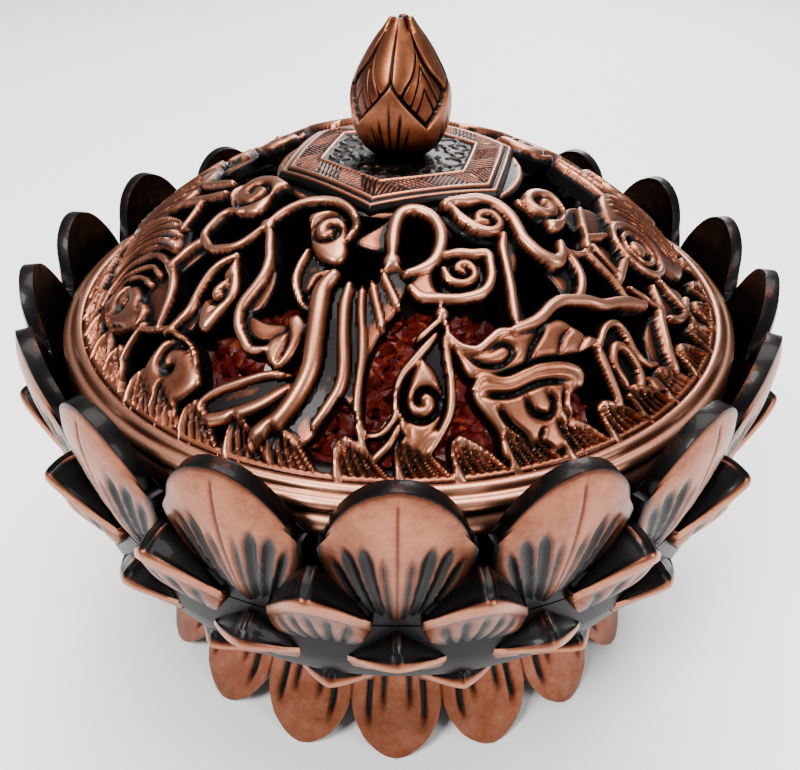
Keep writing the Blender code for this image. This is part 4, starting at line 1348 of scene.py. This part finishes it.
def aged_copper(name, bright, patina, deep, dull, coat):
    """Plated copper, polished where it stands out, over a glossy dark patina that fills the hollows. Its colour
    follows the per-point brightness, which on some pieces also holds painted highlights and painted shade.
    """
    finish = Finish(name)
    worn_and_shaded = finish.add("ShaderNodeAttribute", attribute_name="wear_and_shade").outputs["Fac"]
    patches = finish.mapped(finish.noise(260.0, 4.0, 0.6), -0.16, 0.16)
    fine = finish.mapped(finish.noise(1400.0, 3.0, 0.7), -0.09, 0.09)
    worn_and_shaded = finish.math("ADD", finish.math("ADD", worn_and_shaded, patches), fine)
    light = mixed(bright, (0.80, 0.50, 0.36), 0.18)
    stops = [(0.0, patina), (0.36, patina), (0.48, mixed(patina, deep, 0.7)), (0.60, deep),
             (0.78, mixed(deep, bright, 0.75)), (1.0, light)]
    finish.link(finish.ramp(worn_and_shaded, stops), finish.shader.inputs["Base Color"])
    finish.link(finish.mapped(worn_and_shaded, dull, 0.34), finish.shader.inputs["Roughness"])
    finish.link(finish.mapped(worn_and_shaded, 0.95, 1.0), finish.shader.inputs["Metallic"])
    finish.set(coat_weight=coat, coat_roughness=0.08)
    finish.bump(finish.noise(2200.0, 4.0, 0.65), 0.12, 0.0002)
    return finish.material


def red_glass_stone(name, colour):
    """Wet-looking chips, dark red in their depths, with a few orange flecks."""
    finish = Finish(name)
    flecks = finish.noise(420.0, 3.0, 0.6)
    stops = [(0.0, mixed(colour, (0, 0, 0), 0.75)), (0.42, mixed(colour, (0, 0, 0), 0.3)), (0.58, colour),
             (0.72, (0.62, 0.10, 0.03)), (0.85, (0.85, 0.30, 0.10))]
    finish.link(finish.ramp(flecks, stops), finish.shader.inputs["Base Color"])
    finish.link(finish.mapped(flecks, 0.2, 0.4), finish.shader.inputs["Roughness"])
    finish.set(metallic=0.0, ior=1.5, coat_weight=0.2, coat_roughness=0.1)
    finish.bump(finish.noise(900.0, 3.0, 0.6), 0.2, 0.0004)
    return finish.material


def plated_steel(name):
    """Bright zinc plate with faint turning marks and a dull bloom."""
    finish = Finish(name)
    bloom = finish.noise(500.0, 4.0, 0.6)
    stops = [(0.2, (0.42, 0.42, 0.44)), (0.6, (0.66, 0.66, 0.68)), (0.9, (0.74, 0.73, 0.68))]
    finish.link(finish.ramp(bloom, stops), finish.shader.inputs["Base Color"])
    finish.link(finish.mapped(bloom, 0.24, 0.42), finish.shader.inputs["Roughness"])
    finish.set(metallic=1.0)
    finish.bump(finish.noise(3200.0, 2.0), 0.1, 0.0001)
    return finish.material


def felted_mat(name):
    """Off-white mineral felt, matted and a little scorched."""
    finish = Finish(name)
    fibres = finish.noise(2600.0, 6.0, 0.75)
    stops = [(0.3, (0.36, 0.30, 0.22)), (0.55, (0.72, 0.69, 0.60)), (0.8, (0.82, 0.80, 0.73))]
    finish.link(finish.ramp(finish.noise(160.0, 5.0, 0.65), stops), finish.shader.inputs["Base Color"])
    finish.link(finish.mapped(fibres, 0.85, 1.0), finish.shader.inputs["Roughness"])
    finish.set(sheen_weight=0.3, sheen_roughness=0.6)
    finish.bump(fibres, 0.6, 0.0006)
    return finish.material


def studio_paper(name, colour):
    """Matt white paper, hardly mottled."""
    finish = Finish(name)
    grain = finish.noise(8.0, 2.0)
    stops = [(0.0, mixed(colour, (0.9, 0.9, 0.9), 0.3)), (1.0, colour)]
    finish.link(finish.ramp(grain, stops), finish.shader.inputs["Base Color"])
    finish.link(finish.mapped(grain, 0.7, 0.8), finish.shader.inputs["Roughness"])
    return finish.material


# ---------------------------------------------------------------- sizes and colours a user can change


class BurnerSizes(PropertyGroup):
    upper_petal_wall: FloatProperty(name="Upper petal wall", description="Thickness of a tall petal",
                                    default=0.0020, min=0.001, max=0.003, unit="LENGTH")
    dome_wall: FloatProperty(name="Openwork wall", description="Thickness of the pierced dome",
                             default=0.0026, min=0.0015, max=0.004, unit="LENGTH")
    openwork_cell: FloatProperty(name="Openwork detail", description="Size of the smallest face of the dome",
                                 default=0.00030, min=0.0002, max=0.001, unit="LENGTH")
    plate_radius: FloatProperty(name="Plate radius", description="From the plate's middle to its corners",
                                default=0.0187, min=0.015, max=0.02, unit="LENGTH")
    plate_turn: FloatProperty(name="Plate turn", description="Turn of the plate about the upright axis",
                              default=math.radians(17.35), subtype="ANGLE")
    chips: IntProperty(name="Stone chips", description="How many chips lie in the bowl",
                       default=950, min=50, max=1500)


class BurnerColours(PropertyGroup):
    copper: FloatVectorProperty(name="Copper", description="Bare antique copper", size=3, subtype="COLOR",
                                default=(0.36, 0.135, 0.072))
    foot: FloatVectorProperty(name="Foot copper", description="The redder, browner copper of the foot", size=3,
                              subtype="COLOR", default=(0.24, 0.075, 0.036))
    bud: FloatVectorProperty(name="Bud copper", description="The warm brown copper of the bud", size=3,
                             subtype="COLOR", default=(0.32, 0.11, 0.05))
    patina: FloatVectorProperty(name="Patina", description="The dark patina in the hollows", size=3,
                                subtype="COLOR", default=(0.008, 0.007, 0.007))
    stone: FloatVectorProperty(name="Stone", description="The red stone chips", size=3, subtype="COLOR",
                               default=(0.20, 0.012, 0.008))
    floor: FloatVectorProperty(name="Floor", description="The studio floor", size=3, subtype="COLOR",
                               default=(0.93, 0.93, 0.93))


def finished(obj, material, body, slot, *nodes):
    """Gives a piece its finish, ties it to the body and hides the nodes it stands for. The slot is not used."""
    obj.data.materials.clear()
    obj.data.materials.append(material)
    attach(obj, body)
    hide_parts(*nodes)


def sizes():
    return bpy.context.scene.burner_sizes


def colours():
    return bpy.context.scene.burner_colours


def copper(slot):
    """The finish of a copper slot, made once."""
    finish = slot + "_finish"
    found = bpy.data.materials.get(finish)
    if found:
        return found
    bright = list({"foot_copper": colours().foot, "bud_copper": colours().bud}.get(slot, colours().copper))
    deep = [0.36 * bright[0], 0.27 * bright[1], 0.24 * bright[2]]
    # The bowl's shell, painted near black as shade, gets a rough finish with no coat.
    dull, coat = (0.7, 0.0) if slot == "dark_cast" else (0.45, 0.06)
    return aged_copper(finish, bright, list(colours().patina), deep, dull, coat)


def coppered(obj, body, node, slot="antique_copper"):
    """Gives a piece the copper of its slot."""
    finished(obj, copper(slot), body, slot, node)


# ---------------------------------------------------------------- operators


class BURNER_OT_bowl(Operator):
    """Build the bowl with its bright rim"""

    bl_idname = "burner.bowl"
    bl_label = "Bowl"

    def execute(self, context):
        coppered(bowl_shell(), "base", "bowl", "dark_cast")
        return {"FINISHED"}


class BURNER_OT_stones(Operator):
    """Fill the bowl with red stone chips"""

    bl_idname = "burner.stones"
    bl_label = "Stone chips"

    def execute(self, context):
        stone = red_glass_stone("red_stone_finish", list(colours().stone))
        finished(stone_chips(sizes().chips, seed=11, level=34.0, lean=0.1), stone, "base", "red_stone", "stone_bed")
        return {"FINISHED"}


class BURNER_OT_petals(Operator):
    """Build the four rings of petals"""

    bl_idname = "burner.petals"
    bl_label = "Petal rings"

    def execute(self, context):
        rings = [
            ("upper_petals", upper_petal(columns=56, rows=34, thickness=sizes().upper_petal_wall / MM), 0.0),
            ("second_petals", SECOND_LEAF.mesh("second_petal", columns=40, rows=30), 0.5),
            ("third_petals", THIRD_LEAF.mesh("third_petal", columns=28, rows=22), 0.0),
            ("fourth_petals", FOURTH_LEAF.mesh("fourth_petal", columns=24, rows=20), 0.5),
        ]
        for number, (name, petal, phase) in enumerate(rings, start=1):
            coppered(wreath(name, petal, phase, number), "base", f"petal_ring_{number}")
        return {"FINISHED"}


class BURNER_OT_foot(Operator):
    """Build the foot with its toes"""

    bl_idname = "burner.foot"
    bl_label = "Foot"

    def execute(self, context):
        toes = turned_copies(foot_toe(columns=36, rows=26), PETALS)
        coppered(join("lotus_foot", toes + [foot_dish()]), "base", "foot", "foot_copper")
        return {"FINISHED"}


class BURNER_OT_openwork(Operator):
    """Build the pierced dome of the lid"""

    bl_idname = "burner.openwork"
    bl_label = "Openwork dome"

    def execute(self, context):
        for half in openwork(sizes().openwork_cell / MM, sizes().dome_wall / MM):
            coppered(half, "lid", "lid_dome")
        return {"FINISHED"}


class BURNER_OT_lid_rim(Operator):
    """Build the lid's bead, lip and milled ring"""

    bl_idname = "burner.lid_rim"
    bl_label = "Lid rim"

    def execute(self, context):
        coppered(lid_rim(), "lid", "lid_dome")
        return {"FINISHED"}


class BURNER_OT_plate(Operator):
    """Build the six-sided top plate"""

    bl_idname = "burner.plate"
    bl_label = "Top plate"

    def execute(self, context):
        plate = top_plate(cell=0.18, corner=sizes().plate_radius / MM, turn=sizes().plate_turn)
        coppered(plate, "lid", "lid_plate")
        return {"FINISHED"}


class BURNER_OT_bud(Operator):
    """Build the lotus bud"""

    bl_idname = "burner.bud"
    bl_label = "Lotus bud"

    def execute(self, context):
        coppered(lotus_bud(columns=288, rows=150), "lid", "lid_bud", "bud_copper")
        return {"FINISHED"}


FIXINGS = ("base_screw", "base_washer", "base_lock_washer", "lid_screw", "lid_washer", "heat_mat")


class BURNER_OT_fixings(Operator):
    """Finish the screws, the washers and the heat mat"""

    bl_idname = "burner.fixings"
    bl_label = "Screws and mat"

    def execute(self, context):
        steel, felt = plated_steel("zinc_plate_finish"), felted_mat("felt_finish")
        for node in FIXINGS:
            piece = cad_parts[node]
            piece.data.materials.clear()
            piece.data.materials.append(felt if node == "heat_mat" else steel)
        return {"FINISHED"}


LIGHTS = [
    # (name, place, size, power): all aim at LIGHT_AIM
    ("key", (-0.34, -0.40, 0.62), 0.22, 7.5),
    ("fill", (0.50, -0.45, 0.40), 0.25, 3.0),
    ("top", (0.05, 0.15, 0.95), 0.70, 20.0),
    ("back", (0.15, 0.70, 0.40), 0.30, 4.0),
]
LIGHT_AIM = (0.0, 0.0, 0.05)
SKY_STRENGTH = 0.35
FLOOR_SIZE, FLOOR_Z = 6.0, -0.0002
CAMERA_PLACE = (0.0, -0.1165, 0.1255)
CAMERA_PAN, CAMERA_PITCH, CAMERA_ROLL = -0.11, 35.77, 0.47
LENS, SENSOR, NEAREST = 35.31, 36.0, 0.005


class BURNER_OT_stage(Operator):
    """Set the floor, the soft studio light and the camera"""

    bl_idname = "burner.stage"
    bl_label = "Studio"

    def execute(self, context):
        bpy.ops.object.select_all(action="DESELECT")
        bpy.ops.mesh.primitive_plane_add(size=FLOOR_SIZE, location=(0.0, 0.0, FLOOR_Z))
        floor = context.object
        floor.name = "studio_floor"
        floor.data.materials.append(studio_paper("studio_paper", list(colours().floor)))
        world = bpy.data.worlds.new("studio")
        world.use_nodes = True
        sky = world.node_tree.nodes["Background"]
        sky.inputs["Color"].default_value = (1.0, 1.0, 1.0, 1.0)
        sky.inputs["Strength"].default_value = SKY_STRENGTH
        context.scene.world = world
        for name, place, size, power in LIGHTS:
            lamp = bpy.data.lights.new(name, "AREA")
            lamp.size = size
            lamp.energy = power
            light = bpy.data.objects.new(name, lamp)
            context.scene.collection.objects.link(light)
            light.location = place
            aim = Vector(LIGHT_AIM) - light.location
            light.rotation_euler = aim.to_track_quat("-Z", "Y").to_euler()
        lens = bpy.data.cameras.new("camera")
        lens.lens = LENS
        lens.sensor_width = SENSOR
        lens.clip_start = NEAREST
        camera = bpy.data.objects.new("camera", lens)
        context.scene.collection.objects.link(camera)
        camera.matrix_world = (
            Matrix.Translation(CAMERA_PLACE)
            @ Matrix.Rotation(math.radians(CAMERA_PAN), 4, "Z")
            @ Matrix.Rotation(math.radians(90.0 - CAMERA_PITCH), 4, "X")
            @ Matrix.Rotation(math.radians(CAMERA_ROLL), 4, "Z")
        )
        context.scene.camera = camera
        return {"FINISHED"}


STEPS = (BURNER_OT_bowl, BURNER_OT_stones, BURNER_OT_petals, BURNER_OT_foot, BURNER_OT_openwork, BURNER_OT_lid_rim,
         BURNER_OT_plate, BURNER_OT_bud, BURNER_OT_fixings, BURNER_OT_stage)


class BURNER_PT_panel(Panel):
    """The burner's sizes, colours and pieces"""

    bl_idname = "BURNER_PT_panel"
    bl_label = "Lotus incense burner"
    bl_space_type = "VIEW_3D"
    bl_region_type = "UI"
    bl_category = "Burner"

    def draw(self, context):
        for group in (context.scene.burner_sizes, context.scene.burner_colours):
            box = self.layout.box()
            for name in group.__annotations__:
                box.prop(group, name)
        column = self.layout.column(align=True)
        for operator in STEPS:
            column.operator(operator.bl_idname)


CLASSES = (BurnerSizes, BurnerColours, *STEPS, BURNER_PT_panel)


def register():
    for cls in CLASSES:
        bpy.utils.register_class(cls)
    bpy.types.Scene.burner_sizes = PointerProperty(type=BurnerSizes)
    bpy.types.Scene.burner_colours = PointerProperty(type=BurnerColours)


def unregister():
    del bpy.types.Scene.burner_colours
    del bpy.types.Scene.burner_sizes
    for cls in reversed(CLASSES):
        bpy.utils.unregister_class(cls)


def main():
    register()
    for operator in STEPS:
        group, name = operator.bl_idname.split(".")
        getattr(getattr(bpy.ops, group), name)()


if __name__ == "__main__":
    main()
